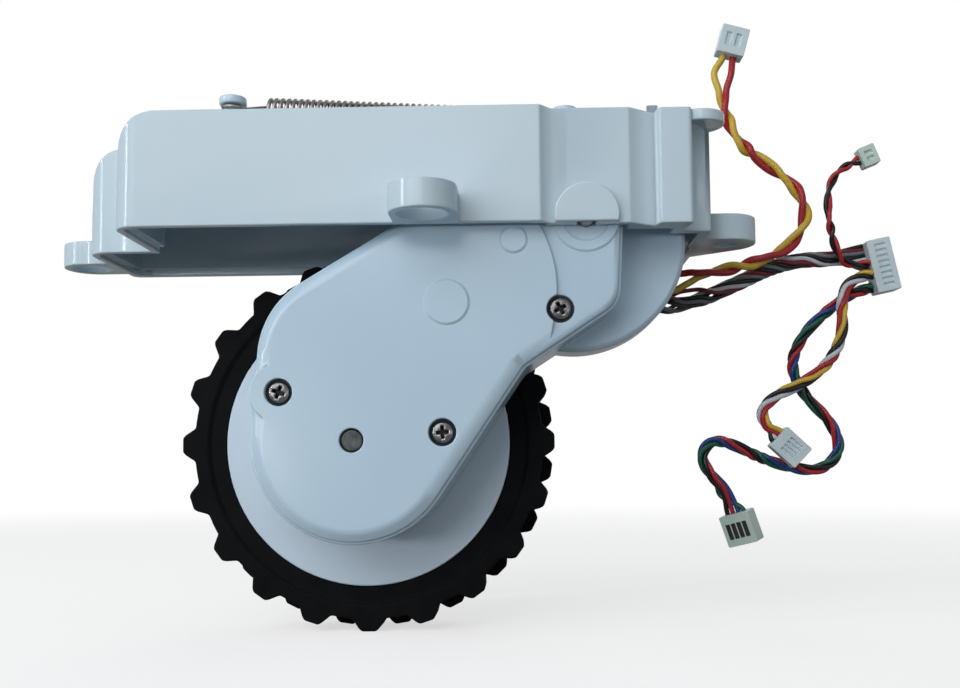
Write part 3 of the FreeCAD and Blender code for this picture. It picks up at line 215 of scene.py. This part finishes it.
# Gearcase, cover and end cap
# The arm: a thin case with the motor's barrel behind it, shut by a plate with a bevelled rim and, at the
# barrel's far end, by a round cap. All three are moulded in a plastic like the housing's.

case_plastic = finish(
    "case_plastic", (0.52, 0.685, 0.82), (0.49, 0.655, 0.80),
    mottle_size=0.025, roughness=0.22, swing=0.05, grain_size=0.0006, grain_depth=0.000005,
)
moulded("gear_case", 0.00025, case_plastic)
moulded("gear_cover", 0.00025, case_plastic)
moulded("end_cap", 0.0002, case_plastic)

# Wheel hub
# A dished disc with six ribs at its back, held on the output shaft by a screw, in a duller plastic than the
# case's.

hub_plastic = finish(
    "hub_plastic", (0.58, 0.71, 0.83), (0.55, 0.68, 0.80),
    mottle_size=0.02, roughness=0.33, swing=0.06, grain_size=0.0005, grain_depth=0.000008,
)
moulded("wheel_hub", 0.0003, hub_plastic)

# Tyre
# Dull black rubber in one ring, which sits on the hub's rim. It has two rows of tread blocks, the far row
# half a step round from the near one.

tyre_rubber = finish(
    "tyre_rubber", (0.0035, 0.0042, 0.0055), (0.008, 0.0085, 0.010),
    mottle_size=0.006, roughness=0.55, swing=0.12, grain_size=0.0004, grain_depth=0.00002, shine=0.04,
)
moulded("wheel_tyre", 0.00035, tyre_rubber)

# Shaft, pins and hidden metal
# The wheel's steel shaft turns in two brass bushes, and the arm on a pin in front and a screw behind. The
# gears' pins and the motor's can, shaft and pinion are shut in the arm.


def paint(material, *nodes):
    """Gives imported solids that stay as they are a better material."""
    for node in nodes:
        frame["nodes"][node].data.materials[0] = material


steel = finish(
    "steel", (0.42, 0.42, 0.43), (0.30, 0.30, 0.31),
    mottle_size=0.002, roughness=0.34, swing=0.1, grain_size=0.0002, grain_depth=0.00001, metal=1.0,
)
shaft_steel = finish(
    "shaft_steel", (0.105, 0.115, 0.115), (0.05, 0.06, 0.06),
    mottle_size=0.0008, roughness=0.5, swing=0.12, grain_size=0.0002, grain_depth=0.00003, metal=1.0,
)
brass = finish(
    "brass", (0.70, 0.52, 0.22), (0.58, 0.42, 0.18),
    mottle_size=0.002, roughness=0.32, swing=0.08, grain_size=0.0002, grain_depth=0.00001, metal=1.0,
)
paint(steel, "gear_pins", "hub_screw", "motor_can", "motor_shaft", "front_pivot_pin", "rear_pivot_screw")
moulded("wheel_shaft", 0.0001, shaft_steel)
paint(brass, "front_bush", "rear_bush", "motor_pinion")

# Gears
# Moulded in natural nylon: three compound gears that run on the fixed pins inside the case, and the output
# gear, fixed on the wheel's shaft.

gear_nylon = finish(
    "gear_nylon", (0.80, 0.77, 0.66), (0.74, 0.70, 0.58),
    mottle_size=0.004, roughness=0.45, swing=0.06, grain_size=0.0003, grain_depth=0.00001,
)
paint(gear_nylon, "first_gear", "second_gear", "third_gear", "output_gear")

# Encoder and grommet
# A green circuit board stands behind the motor and reads a black ring magnet on the motor's shaft. The
# leads leave the barrel through a window that a black grommet fills.

board_green = finish(
    "board_green", (0.02, 0.16, 0.07), (0.03, 0.22, 0.10),
    mottle_size=0.002, roughness=0.35, swing=0.08, grain_size=0.0003, grain_depth=0.00001,
)
# Black for the magnet and the grommet, and painted shade in the four-way connector's windows
dark_plastic = finish(
    "dark_plastic", (0.018, 0.018, 0.02), (0.03, 0.03, 0.032),
    mottle_size=0.003, roughness=0.5, swing=0.1, grain_size=0.0003, grain_depth=0.00002,
)
paint(board_green, "encoder_board")
paint(dark_plastic, "encoder_magnet", "lead_grommet")

# Cover screws
# Three plated self-tapping screws with flat heads and a cross recess, driven into posts of the case and
# sunk in round pockets of the cover. A thin black ring under each head and the black walls of the
# recesses are painted shade.


def link(tree, kind, given=(), **settings):
    """Adds a node to a tree and feeds its sockets with values or with other nodes."""
    made = tree.nodes.new(kind)
    for setting, value in settings.items():
        setattr(made, setting, value)
    for socket, value in dict(given).items():
        if isinstance(value, bpy.types.Node):
            value = value.outputs[0]
        if isinstance(value, bpy.types.NodeSocket):
            tree.links.new(value, made.inputs[socket])
        else:
            made.inputs[socket].default_value = value
    return made


def new_tree(name, *sizes):
    """A geometry tree with one named input for each size, and its input node's sockets."""
    tree = bpy.data.node_groups.new(name, "GeometryNodeTree")
    tree.interface.new_socket("Geometry", in_out="INPUT", socket_type="NodeSocketGeometry")
    tree.interface.new_socket("Geometry", in_out="OUTPUT", socket_type="NodeSocketGeometry")
    for size in sizes:
        tree.interface.new_socket(size.replace("_", " "), in_out="INPUT", socket_type="NodeSocketFloat")
    return tree, tree.nodes.new("NodeGroupInput").outputs


def grown(name, mesh, tree, last, **sizes):
    """A piece grown by a finished tree from a starting mesh."""
    real = link(tree, "GeometryNodeRealizeInstances", {0: last})
    link(tree, "NodeGroupOutput", {0: real})
    piece = bpy.data.objects.new(name, mesh)
    bpy.context.scene.collection.objects.link(piece)
    modifier = piece.modifiers.new(name, "NODES")
    modifier.node_group = tree
    for item in tree.interface.items_tree:
        if item.in_out == "INPUT" and item.name.replace(" ", "_") in sizes:
            modifier[item.identifier] = sizes[item.name.replace(" ", "_")]
    return bake(piece)


def round_of(name, profile, material, steps=32):
    """A mesh turned about its own Y axis from (radius, depth) points, from pole to pole or as a ring."""
    edit = bmesh.new()
    for step in range(steps):
        turn = 2 * math.pi * step / steps
        for radius, depth in profile:
            edit.verts.new((radius * math.cos(turn), depth, radius * math.sin(turn)))
    edit.verts.ensure_lookup_table()
    count = len(profile)
    for step in range(steps):
        here, there = step * count, (step + 1) % steps * count
        for index in range(count - 1):
            corners = (here + index, here + index + 1, there + index + 1, there + index)
            edit.faces.new([edit.verts[corner] for corner in corners])
    bmesh.ops.remove_doubles(edit, verts=edit.verts, dist=SAME_POINT)
    bmesh.ops.recalc_face_normals(edit, faces=edit.faces)
    for face in edit.faces:
        face.smooth = True
    mesh = bpy.data.meshes.new(name)
    edit.to_mesh(mesh)
    edit.free()
    mesh.materials.append(material)
    return mesh


HEAD_RADIUS = 0.00185
HEAD_THICK = 0.0009
SHANK_RADIUS = 0.00083
SHANK_LENGTH = 0.0071
SHADE_RING_RADIUS = 0.00258
SHADE_RING_HOLE = HEAD_RADIUS * 0.9
SHADE_RING_THICK = 0.0002
RECESS_START = -0.0002
RECESS_DEPTH = 0.00084
ARM_REACH = HEAD_RADIUS * 0.68
ARM_WIDTH = 0.00066
TOE_REACH = HEAD_RADIUS * 0.36
TOE_WIDTH = 0.0005
screw_steel = finish(
    "screw_steel", (0.26, 0.26, 0.26), (0.12, 0.12, 0.125),
    mottle_size=0.0012, roughness=0.28, swing=0.1, grain_size=0.0002, grain_depth=0.00001, metal=1.0,
)
screw_mesh = round_of(
    "screw",
    (
        (0, 0),
        (HEAD_RADIUS * 0.55, 0.00002),
        (HEAD_RADIUS * 0.86, 0.00012),
        (HEAD_RADIUS * 0.97, 0.0003),
        (HEAD_RADIUS, HEAD_THICK - 0.0001),
        (HEAD_RADIUS * 0.96, HEAD_THICK),
        (SHANK_RADIUS, HEAD_THICK),
        (SHANK_RADIUS, HEAD_THICK + SHANK_LENGTH),
        (0, HEAD_THICK + SHANK_LENGTH),
    ),
    screw_steel,
)
# A thin black ring under each head, which is painted shade of the gap round the head in its pocket
shade_ring_mesh = round_of(
    "shade_ring",
    (
        (SHADE_RING_HOLE, HEAD_THICK - SHADE_RING_THICK),
        (SHADE_RING_RADIUS, HEAD_THICK - SHADE_RING_THICK),
        (SHADE_RING_RADIUS, HEAD_THICK),
        (SHADE_RING_HOLE, HEAD_THICK),
        (SHADE_RING_HOLE, HEAD_THICK - SHADE_RING_THICK),
    ),
    screw_steel,
)
screw = bpy.data.objects.new("screw", screw_mesh)
bpy.context.scene.collection.objects.link(screw)
slots = bmesh.new()
for turn in (0, math.pi / 2):
    # One arm of the cross, which starts above the head and narrows with its depth
    arm = bmesh.ops.create_cube(slots, size=1.0)["verts"]
    for vert in arm:
        deep = vert.co.y > 0
        vert.co.x *= 2 * (TOE_REACH if deep else ARM_REACH)
        vert.co.z *= TOE_WIDTH if deep else ARM_WIDTH
        vert.co.y = RECESS_DEPTH if deep else RECESS_START
    bmesh.ops.rotate(slots, verts=arm, matrix=Matrix.Rotation(turn, 3, "Y"))
bmesh.ops.recalc_face_normals(slots, faces=slots.faces)
recess_mesh = bpy.data.meshes.new("recess")
slots.to_mesh(recess_mesh)
slots.free()
recess = bpy.data.objects.new("recess", recess_mesh)
bpy.context.scene.collection.objects.link(recess)
sunk = screw.modifiers.new("Recess", "BOOLEAN")
sunk.operation = "DIFFERENCE"
sunk.solver = "EXACT"
sunk.use_self = True
sunk.object = recess
bake(screw)
bpy.data.objects.remove(recess)
stack = bmesh.new()
stack.from_mesh(screw.data)
stack.from_mesh(shade_ring_mesh)
stack.to_mesh(screw.data)
stack.free()

screw_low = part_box("cover_screws")[0]
SCREW_PLACES = ((0.0454, -0.0279), (0.0732, -0.035), (0.0934, -0.0142))
places = bpy.data.meshes.new("screw_places")
places.from_pydata([(x, screw_low[1], z) for x, z in SCREW_PLACES], [], [])
tree, size = new_tree("cover_screws", "First_turn", "Turn_step")
turn = link(
    tree,
    "ShaderNodeMath",
    {0: tree.nodes.new("GeometryNodeInputIndex"), 1: size["Turn step"], 2: size["First turn"]},
    operation="MULTIPLY_ADD",
)
facing = link(tree, "ShaderNodeCombineXYZ", {"Y": turn})
original = link(tree, "GeometryNodeObjectInfo", {0: screw})
driven = link(
    tree,
    "GeometryNodeInstanceOnPoints",
    {"Points": size["Geometry"], "Instance": original.outputs["Geometry"], "Rotation": facing},
)
painted = link(tree, "GeometryNodeSetMaterial", {"Geometry": driven, "Material": screw_steel})
heads = grown("cover_screw_heads", places, tree, painted, First_turn=0.35, Turn_step=1.15)
bpy.data.objects.remove(screw)
# Near black, for the painted shade under the heads and in the cross recesses
black_oxide = finish(
    "black_oxide", (0.006, 0.008, 0.014), (0.012, 0.014, 0.02),
    mottle_size=0.0015, roughness=0.5, swing=0.1, grain_size=0.0003, grain_depth=0.00001, shine=0.3,
)
heads.data.materials.append(black_oxide)
for polygon in heads.data.polygons:
    # Painted shade: the rings under the heads and the walls of the cross recesses are black
    out = min(math.dist((polygon.center.x, polygon.center.z), place) for place in SCREW_PLACES)
    sunk_in = polygon.center.y - screw_low[1]
    inside = 0.0002 < sunk_in < HEAD_THICK - 0.00001 and out < HEAD_RADIUS * 0.75
    if inside or out > HEAD_RADIUS * 1.01:
        polygon.material_index = 1
carry(heads, "cover_screws")

# Suspension spring
# Coiled steel wire with a hook at each end, stretched between the housing's post and the arm's lever.

WIRE = 0.00075
COIL_RADIUS = 0.0023 - WIRE / 2
COIL_PITCH = 0.00109
COIL_STEPS = 20
END_SHARE = 0.25
SPRING_SIDES = 8
HOOK_RADIUS = 0.0018
HOOK_RUN = 0.0058
HOOK_WRAP = 150
HOOK_STEPS = 14
post = Vector((0.0362, -0.0285, 0.0228))
lever = Vector((0.09484, -0.0285, 0.01942))
spring_line = (lever - post).normalized()
spring_side = Vector((0, 1, 0))
spring_up = spring_line.cross(spring_side)


def hook(centre, towards):
    """Wire round a post, from its far side to the straight run."""
    across = Vector((0, 0, 1)).cross(towards).normalized()
    for step in range(HOOK_STEPS + 1):
        angle = math.radians(-HOOK_WRAP + HOOK_WRAP * step / HOOK_STEPS)
        yield centre + towards * (HOOK_RADIUS * math.cos(angle)) + across * (HOOK_RADIUS * math.sin(angle))


def drawn(tree, line, radius, sides, material):
    """Round wire along a curve, closed at its ends."""
    section = link(tree, "GeometryNodeCurvePrimitiveCircle", {"Resolution": sides, "Radius": radius})
    tube = link(tree, "GeometryNodeCurveToMesh", {0: line, 1: section, "Fill Caps": True})
    smooth = link(tree, "GeometryNodeSetShadeSmooth", {0: tube})
    return link(tree, "GeometryNodeSetMaterial", {"Geometry": smooth, "Material": material})


coil_length = (lever - post).length - 2 * HOOK_RUN
coil_turns = round(coil_length / COIL_PITCH)
wire_line = list(hook(post, spring_line))
for step in range(coil_turns * COIL_STEPS + 1):
    # The first and the last turn close in to a quarter of the coil, where the straight wire starts
    along = step / (coil_turns * COIL_STEPS)
    angle = 2 * math.pi * coil_turns * along
    opened = min(1.0, coil_turns * min(along, 1 - along))
    radius = COIL_RADIUS * (END_SHARE + (1 - END_SHARE) * opened)
    wire_line.append(
        post
        + spring_line * (HOOK_RUN + coil_length * along)
        + spring_side * (radius * math.sin(angle))
        + spring_up * (radius * math.cos(angle))
    )
wire_line.extend(reversed(list(hook(lever, spring_line * -1))))
spring_steel = finish(
    "spring_steel", (0.36, 0.34, 0.32), (0.24, 0.23, 0.22),
    mottle_size=0.0015, roughness=0.3, swing=0.08, grain_size=0.0002, grain_depth=0.00001, metal=1.0,
)
line_mesh = bpy.data.meshes.new("spring_line")
line_mesh.from_pydata(wire_line, [(index, index + 1) for index in range(len(wire_line) - 1)], [])
tree, size = new_tree("spring_wire", "Wire_radius")
line = link(tree, "GeometryNodeMeshToCurve", {0: size["Geometry"]})
painted = drawn(tree, line, size["Wire radius"], SPRING_SIDES, spring_steel)
spring = grown("spring_wire", line_mesh, tree, painted, Wire_radius=WIRE / 2)
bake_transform(spring)
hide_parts("suspension_spring")

# Connectors
# Crimp housings moulded in natural nylon, with a window over each contact. The sensor's and the four-way
# one have aged to a green tint, and the four-way's windows lie open, their floors painted black as shade.

connector_nylon = finish(
    "connector_nylon", (0.62, 0.73, 0.78), (0.52, 0.64, 0.69),
    mottle_size=0.008, roughness=0.38, swing=0.05, grain_size=0.0005, grain_depth=0.000003,
)
aged_nylon = finish(
    "aged_nylon", (0.58, 0.70, 0.67), (0.44, 0.60, 0.53),
    mottle_size=0.008, roughness=0.34, swing=0.05, grain_size=0.0005, grain_depth=0.000003,
)
connectors = {
    name: moulded(f"{name}_connector", 0.00015, nylon)
    for name, nylon in (
        ("motor", connector_nylon),
        ("sensor", aged_nylon),
        ("inline", connector_nylon),
        ("four_way", aged_nylon),
        ("main", connector_nylon),
    )
}
WINDOW_DEPTH = 0.0003
windowed = connectors["four_way"].data
windowed.materials.append(dark_plastic)
for face in windowed.polygons:
    # A face that some corner stands in front of lies inside a window, and gets black as painted shade
    if any((corner.co - face.center).dot(face.normal) > WINDOW_DEPTH for corner in windowed.vertices):
        face.material_index = 1

# Leads
# Thin PVC-insulated wires twisted into bundles by hand. The motor's pair and the encoder's bundle leave
# the barrel by the grommet, and three more branch off at the wide connector.


def insulation(name, colour):
    """Glossy PVC, a little dusty and uneven along the wire."""
    darker = tuple(channel * 0.82 for channel in colour)
    return finish(
        name, colour, darker,
        mottle_size=0.008, roughness=0.27, swing=0.04, grain_size=0.0012, grain_depth=0.0000012, shine=0.35,
    )


yellow, red, black, white, maroon, blue, green, grey = (
    insulation(name, colour)
    for name, colour in (
        ("yellow_pvc", (0.68, 0.45, 0.05)),
        ("red_pvc", (0.42, 0.02, 0.03)),
        ("black_pvc", (0.004, 0.005, 0.007)),
        ("white_pvc", (0.60, 0.64, 0.70)),
        ("maroon_pvc", (0.17, 0.012, 0.025)),
        ("blue_pvc", (0.015, 0.05, 0.24)),
        ("green_pvc", (0.004, 0.10, 0.06)),
        ("grey_pvc", (0.16, 0.18, 0.20)),
    )
)


def centre_line(name, route):
    """The smooth line of a lead, as a chain of close points, read from the route's own spline."""
    curve = bpy.data.curves.new(name, "CURVE")
    curve.dimensions = "3D"
    curve.resolution_u = 20
    spline = curve.splines.new("NURBS")
    spline.points.add(len(route) - 1)
    for point, place in zip(spline.points, route):
        point.co = (*place, 1)
    spline.order_u = 3
    spline.use_endpoint_u = True
    holder = bpy.data.objects.new(name, curve)
    bpy.context.scene.collection.objects.link(holder)
    line = bpy.data.meshes.new_from_object(holder)
    bpy.data.objects.remove(holder)
    return line


STEP_ALONG = 0.0005
WIRE_SIDES = 14
WANDER = 0.9
STRAY_PEAK = 0.4


def lead(
    name,
    route,
    wires,
    across,
    lay,
    fan,
    pitch,
    roll=0.0,
    strays=(),
    bows=(),
    stray_run=0.0,
    slip=0.0,
):
    """Wires laid round a route, which part over the last stretch and enter their connector in a row.

    across is the bundle's thickness, lay the length of one twist, fan the stretch where the wires part,
    pitch the step between them there, roll how far their row leans out of the picture and slip how far
    it sits off the route. strays are how far each wire leaves the bundle, in y and z, over the first
    stray_run; bows how far it bows along the row and in y before it enters the connector.
    """
    line = centre_line(name, route)
    path = [vertex.co.copy() for vertex in line.vertices]
    reach = sum((after - before).length for before, after in zip(path, path[1:]))
    count = len(wires)
    thickness = across / (1 + 1 / math.sin(math.pi / count))
    tree, size = new_tree(
        name, "Wire_radius", "Twist_radius", "Lay", "Fan_start", "Fan_end", "Stray_end"
    )
    way = link(tree, "GeometryNodeMeshToCurve", {0: size["Geometry"]})
    way = link(tree, "GeometryNodeResampleCurve", {"Curve": way, "Length": STEP_ALONG}, mode="LENGTH")
    along = tree.nodes.new("GeometryNodeSplineParameter").outputs["Length"]
    normal = tree.nodes.new("GeometryNodeInputNormal").outputs[0]
    tangent = tree.nodes.new("GeometryNodeInputTangent").outputs[0]
    side = link(tree, "ShaderNodeVectorMath", {0: tangent, 1: normal}, operation="CROSS_PRODUCT")
    laid = link(tree, "ShaderNodeMath", {0: along, 1: size["Fan start"]}, operation="MINIMUM")
    twists = link(tree, "ShaderNodeMath", {0: laid, 1: size["Lay"]}, operation="DIVIDE")
    wander = link(tree, "ShaderNodeTexNoise", {"W": twists, "Scale": WANDER}, noise_dimensions="1D")
    loose = link(tree, "ShaderNodeMath", {0: twists, 1: wander.outputs[0]}, operation="ADD")

    def ramp(low, high, first=0.0, last=1.0):
        """Rises smoothly from first to last between two lengths along the lead."""
        return link(
            tree,
            "ShaderNodeMapRange",
            {"Value": along, "From Min": low, "From Max": high, "To Min": first, "To Max": last},
            interpolation_type="SMOOTHSTEP",
        )

    parted = ramp(size["Fan start"], size["Fan end"])
    middle = link(tree, "ShaderNodeMath", {0: size["Stray end"], 1: STRAY_PEAK}, operation="MULTIPLY")
    strayed = link(
        tree,
        "ShaderNodeMath",
        {0: ramp(0.0, middle), 1: ramp(middle, size["Stray end"], 1.0, 0.0)},
        operation="MULTIPLY",
    )
    half_way = link(tree, "ShaderNodeMath", {0: size["Fan start"], 1: size["Fan end"]}, operation="ADD")
    half_way = link(tree, "ShaderNodeMath", {0: half_way, 1: 0.5}, operation="MULTIPLY")
    bowed = link(
        tree,
        "ShaderNodeMath",
        {0: ramp(size["Fan start"], half_way), 1: ramp(half_way, size["Fan end"], 1.0, 0.0)},
        operation="MULTIPLY",
    )
    joined = tree.nodes.new("GeometryNodeJoinGeometry")
    heading = (Vector(route[-1]) - Vector(route[-2])).normalized()
    in_plane = Vector((-heading.z, 0, heading.x)).normalized()
    row = in_plane * math.cos(roll) - Vector((0, math.sin(roll), 0))
    for index, wire in enumerate(wires):
        phase = link(
            tree,
            "ShaderNodeMath",
            {0: loose, 1: 2 * math.pi, 2: 2 * math.pi * index / count},
            operation="MULTIPLY_ADD",
        )
        parts = []
        for direction, wave in ((normal, "COSINE"), (side, "SINE")):
            swing = link(tree, "ShaderNodeMath", {0: phase}, operation=wave)
            swing = link(tree, "ShaderNodeMath", {0: swing, 1: size["Twist radius"]}, operation="MULTIPLY")
            parts.append(
                link(tree, "ShaderNodeVectorMath", {0: direction, "Scale": swing}, operation="SCALE")
            )
        offset = link(tree, "ShaderNodeVectorMath", {0: parts[0], 1: parts[1]}, operation="ADD")
        seat = (count - 1) / 2 - index
        rest = link(
            tree, "ShaderNodeVectorMath", {0: row * (seat * pitch + slip), 1: offset}, operation="SUBTRACT"
        )
        moved = link(tree, "ShaderNodeVectorMath", {0: rest, "Scale": parted}, operation="SCALE")
        offset = link(tree, "ShaderNodeVectorMath", {0: offset, 1: moved}, operation="ADD")
        if strays:
            aside = Vector((0, *strays[index]))
            aside = link(tree, "ShaderNodeVectorMath", {0: aside, "Scale": strayed}, operation="SCALE")
            offset = link(tree, "ShaderNodeVectorMath", {0: offset, 1: aside}, operation="ADD")
        if bows:
            aside = row * bows[index][0] + Vector((0, bows[index][1], 0))
            aside = link(tree, "ShaderNodeVectorMath", {0: aside, "Scale": bowed}, operation="SCALE")
            offset = link(tree, "ShaderNodeVectorMath", {0: offset, 1: aside}, operation="ADD")
        strand = link(tree, "GeometryNodeSetPosition", {"Geometry": way, "Offset": offset})
        painted = drawn(tree, strand, size["Wire radius"], WIRE_SIDES, wire)
        tree.links.new(painted.outputs[0], joined.inputs[0])
    piece = grown(
        f"{name}_wires",
        line,
        tree,
        joined,
        Wire_radius=thickness / 2,
        Twist_radius=(across - thickness) / 2,
        Lay=lay,
        Fan_start=reach - fan,
        Fan_end=reach,
        Stray_end=stray_run,
    )
    carry(piece, f"{name}_lead")


lead(
    "motor",
    (
        (0.1118, 0.0010, -0.0034),
        (0.1182, 0.0010, -0.0034),
        (0.1256, 0.0004, -0.0022),
        (0.1334, -0.0004, -0.0008),
        (0.1406, -0.0006, 0.0020),
        (0.1450, -0.0002, 0.0082),
        (0.1432, 0.0004, 0.0148),
        (0.1376, 0.0010, 0.0196),
        (0.1316, 0.0010, 0.0242),
        (0.1288, 0.0010, 0.0308),
        (0.1284, 0.0010, 0.0370),
        (0.1299, 0.0010, 0.0424),
    ),
    (yellow, red),
    across=0.0028,
    lay=0.0135,
    fan=0.0078,
    pitch=0.0020,
    strays=((0, -0.0026), (0, 0.0006)),
    bows=((0.0012, 0.0004), (-0.0004, -0.0005)),
    stray_run=0.011,
)
lead(
    "main",
    (
        (0.1118, 0.0024, -0.0084),
        (0.1174, 0.0024, -0.0084),
        (0.1240, 0.0028, -0.0070),
        (0.1310, 0.0029, -0.0042),
        (0.1376, 0.0029, -0.0010),
        (0.1440, 0.0029, 0.0006),
        (0.1505, 0.0029, 0.0005),
        (0.15684, 0.0029, 0.00181),
    ),
    (black, maroon, grey, black, white, maroon, black, grey),
    across=0.0032,
    lay=0.018,
    fan=0.007,
    pitch=0.0007,
    strays=(
        (0, -0.0004),
        (0, 0.0016),
        (0, -0.0004),
        (0, -0.0006),
        (0, -0.0004),
        (0, 0.0011),
        (0, -0.0004),
        (0, -0.0005),
    ),
    stray_run=0.018,
    slip=-0.001,
)
lead(
    "sensor",
    (
        (0.15739, 0.0012, -0.00062),
        (0.1530, 0.0012, -0.00155),
        (0.1500, -0.0008, 0.0018),
        (0.1489, -0.0012, 0.0066),
        (0.1487, -0.0006, 0.0116),
        (0.1496, 0.0, 0.0158),
        (0.1521, 0.0, 0.0188),
        (0.1556, 0.0, 0.0202),
    ),
    (red, black),
    across=0.0018,
    lay=0.0085,
    fan=0.003,
    pitch=0.00125,
)
lead(
    "inline",
    (
        (0.15782, 0.0015, -0.00278),
        (0.1530, 0.0015, -0.0038),
        (0.1512, 0.0006, -0.0090),
        (0.1514, 0.0002, -0.0148),
        (0.1486, 0.0002, -0.0208),
        (0.1430, 0.0002, -0.0250),
        (0.1370, 0.0002, -0.0274),
        (0.1336, 0.0002, -0.0316),
        (0.1376, 0.0002, -0.0354),
    ),
    (yellow, red, white, black),
    across=0.0024,
    lay=0.014,
    fan=0.003,
    pitch=0.0009,
)
lead(
    "four_way",
    (
        (0.15839, 0.0032, -0.00532),
        (0.1540, 0.0032, -0.00626),
        (0.1494, 0.0038, -0.0098),
        (0.1444, 0.0042, -0.0144),
        (0.1414, 0.0042, -0.0210),
        (0.1444, 0.0042, -0.0274),
        (0.1496, 0.0042, -0.0324),
        (0.1516, 0.0042, -0.0384),
        (0.1472, 0.0042, -0.0426),
        (0.1406, 0.0042, -0.0416),
        (0.1344, 0.0040, -0.0394),
        (0.1294, 0.0034, -0.0368),
        (0.1250, 0.0030, -0.0358),
        (0.1226, 0.0030, -0.0392),
        (0.1248, 0.0030, -0.0432),
        (0.1282, 0.0030, -0.0464),
        (0.1296, 0.0030, -0.0506),
    ),
    (green, blue, red, black),
    across=0.0024,
    lay=0.015,
    fan=0.008,
    pitch=0.00125,
    roll=math.radians(40),
    bows=((-0.0024, 0), (0, 0), (0, 0), (0.0004, 0)),
)

# Floor and light
# A plain floor under the wheel, white to the eye but dull to the light it throws back, which keeps the
# undersides dim. A wide soft lamp stands above in front, with a low one, a fill at the right, a lamp
# behind and a narrow strip at the left, whose streak shows on the housing's rounded corners.


MIRRORED = 0.3


def looked_at(tree):
    """1 for what is seen straight or through clear matter, less for what only shines in a surface."""
    ray = tree.nodes.new("ShaderNodeLightPath")
    glossy = ray.outputs["Is Glossy Ray"]
    shining = link(tree, "ShaderNodeMath", {0: glossy, 1: MIRRORED}, operation="MULTIPLY")
    direct = link(tree, "ShaderNodeMath", {0: ray.outputs["Is Camera Ray"], 1: shining})
    return link(
        tree, "ShaderNodeMath", {0: direct, 1: ray.outputs["Is Transmission Ray"]}, use_clamp=True
    )


FLOOR_REACH = 6.0
FADE_START = 0.25
FADE_END = 0.7
floor_mesh = bpy.data.meshes.new("floor")
floor_corners = [
    (x * FLOOR_REACH, y * FLOOR_REACH, cad_low[2]) for x, y in ((-1, -1), (1, -1), (1, 1), (-1, 1))
]
floor_mesh.from_pydata(floor_corners, [], [(0, 1, 2, 3)])
floor = bpy.data.objects.new("floor", floor_mesh)
bpy.context.scene.collection.objects.link(floor)
floor_paint = bpy.data.materials.new("floor_paint")
floor_paint.use_nodes = True
paper = floor_paint.node_tree
paper.nodes.clear()
spot = paper.nodes.new("ShaderNodeTexCoord")
away = link(paper, "ShaderNodeVectorMath", {0: spot.outputs["Object"]}, operation="LENGTH")
far_off = link(
    paper,
    "ShaderNodeMapRange",
    {"Value": away.outputs["Value"], "From Min": FADE_START, "From Max": FADE_END},
    interpolation_type="SMOOTHSTEP",
)
lit = link(paper, "ShaderNodeBsdfDiffuse", {"Color": (0.45, 0.45, 0.45, 1)})
glow = link(paper, "ShaderNodeEmission", {"Color": (1, 1, 1, 1), "Strength": 0.62})
pale = link(paper, "ShaderNodeAddShader", {0: lit, 1: glow})
white_out = link(paper, "ShaderNodeEmission", {"Color": (1, 1, 1, 1), "Strength": 1.0})
faded = link(paper, "ShaderNodeMixShader", {0: far_off, 1: pale, 2: white_out})
dull = link(paper, "ShaderNodeBsdfDiffuse", {"Color": (0.20, 0.19, 0.18, 1)})
either_way = link(paper, "ShaderNodeMixShader", {0: looked_at(paper), 1: dull, 2: faded})
link(paper, "ShaderNodeOutputMaterial", {"Surface": either_way})
floor_mesh.materials.append(floor_paint)


def lamp(name, place, size, power):
    """A soft rectangular lamp that faces the middle of the part."""
    data = bpy.data.lights.new(name, "AREA")
    data.shape = "RECTANGLE"
    data.size, data.size_y = size
    data.energy = power
    made = bpy.data.objects.new(name, data)
    bpy.context.scene.collection.objects.link(made)
    made.location = place
    facing = (cad_low + cad_high) / 2 - Vector(place)
    made.rotation_euler = facing.to_track_quat("-Z", "Y").to_euler()


lamp("key", (-0.25, -0.85, 0.50), (0.9, 0.6), 3.9)
lamp("low", (-0.38, -0.75, -0.02), (0.5, 0.08), 1.2)
lamp("fill", (0.55, -0.70, -0.08), (0.4, 0.3), 0.9)
lamp("strip", (-0.55, -0.34, 0.22), (0.02, 0.5), 1.3)
lamp("back", (0.2, 0.8, 0.5), (0.8, 0.5), 1.6)

world = bpy.data.worlds.new("studio")
bpy.context.scene.world = world
world.use_nodes = True
air = world.node_tree
air.nodes.clear()
soft = link(air, "ShaderNodeBackground", {"Color": (0.93, 0.97, 1.0, 1), "Strength": 0.28})
plain = link(air, "ShaderNodeBackground", {"Color": (1, 1, 1, 1), "Strength": 1.0})
chosen = link(air, "ShaderNodeMixShader", {0: looked_at(air), 1: soft, 2: plain})
link(air, "ShaderNodeOutputWorld", {"Surface": chosen})
bpy.context.scene.view_settings.view_transform = "Standard"
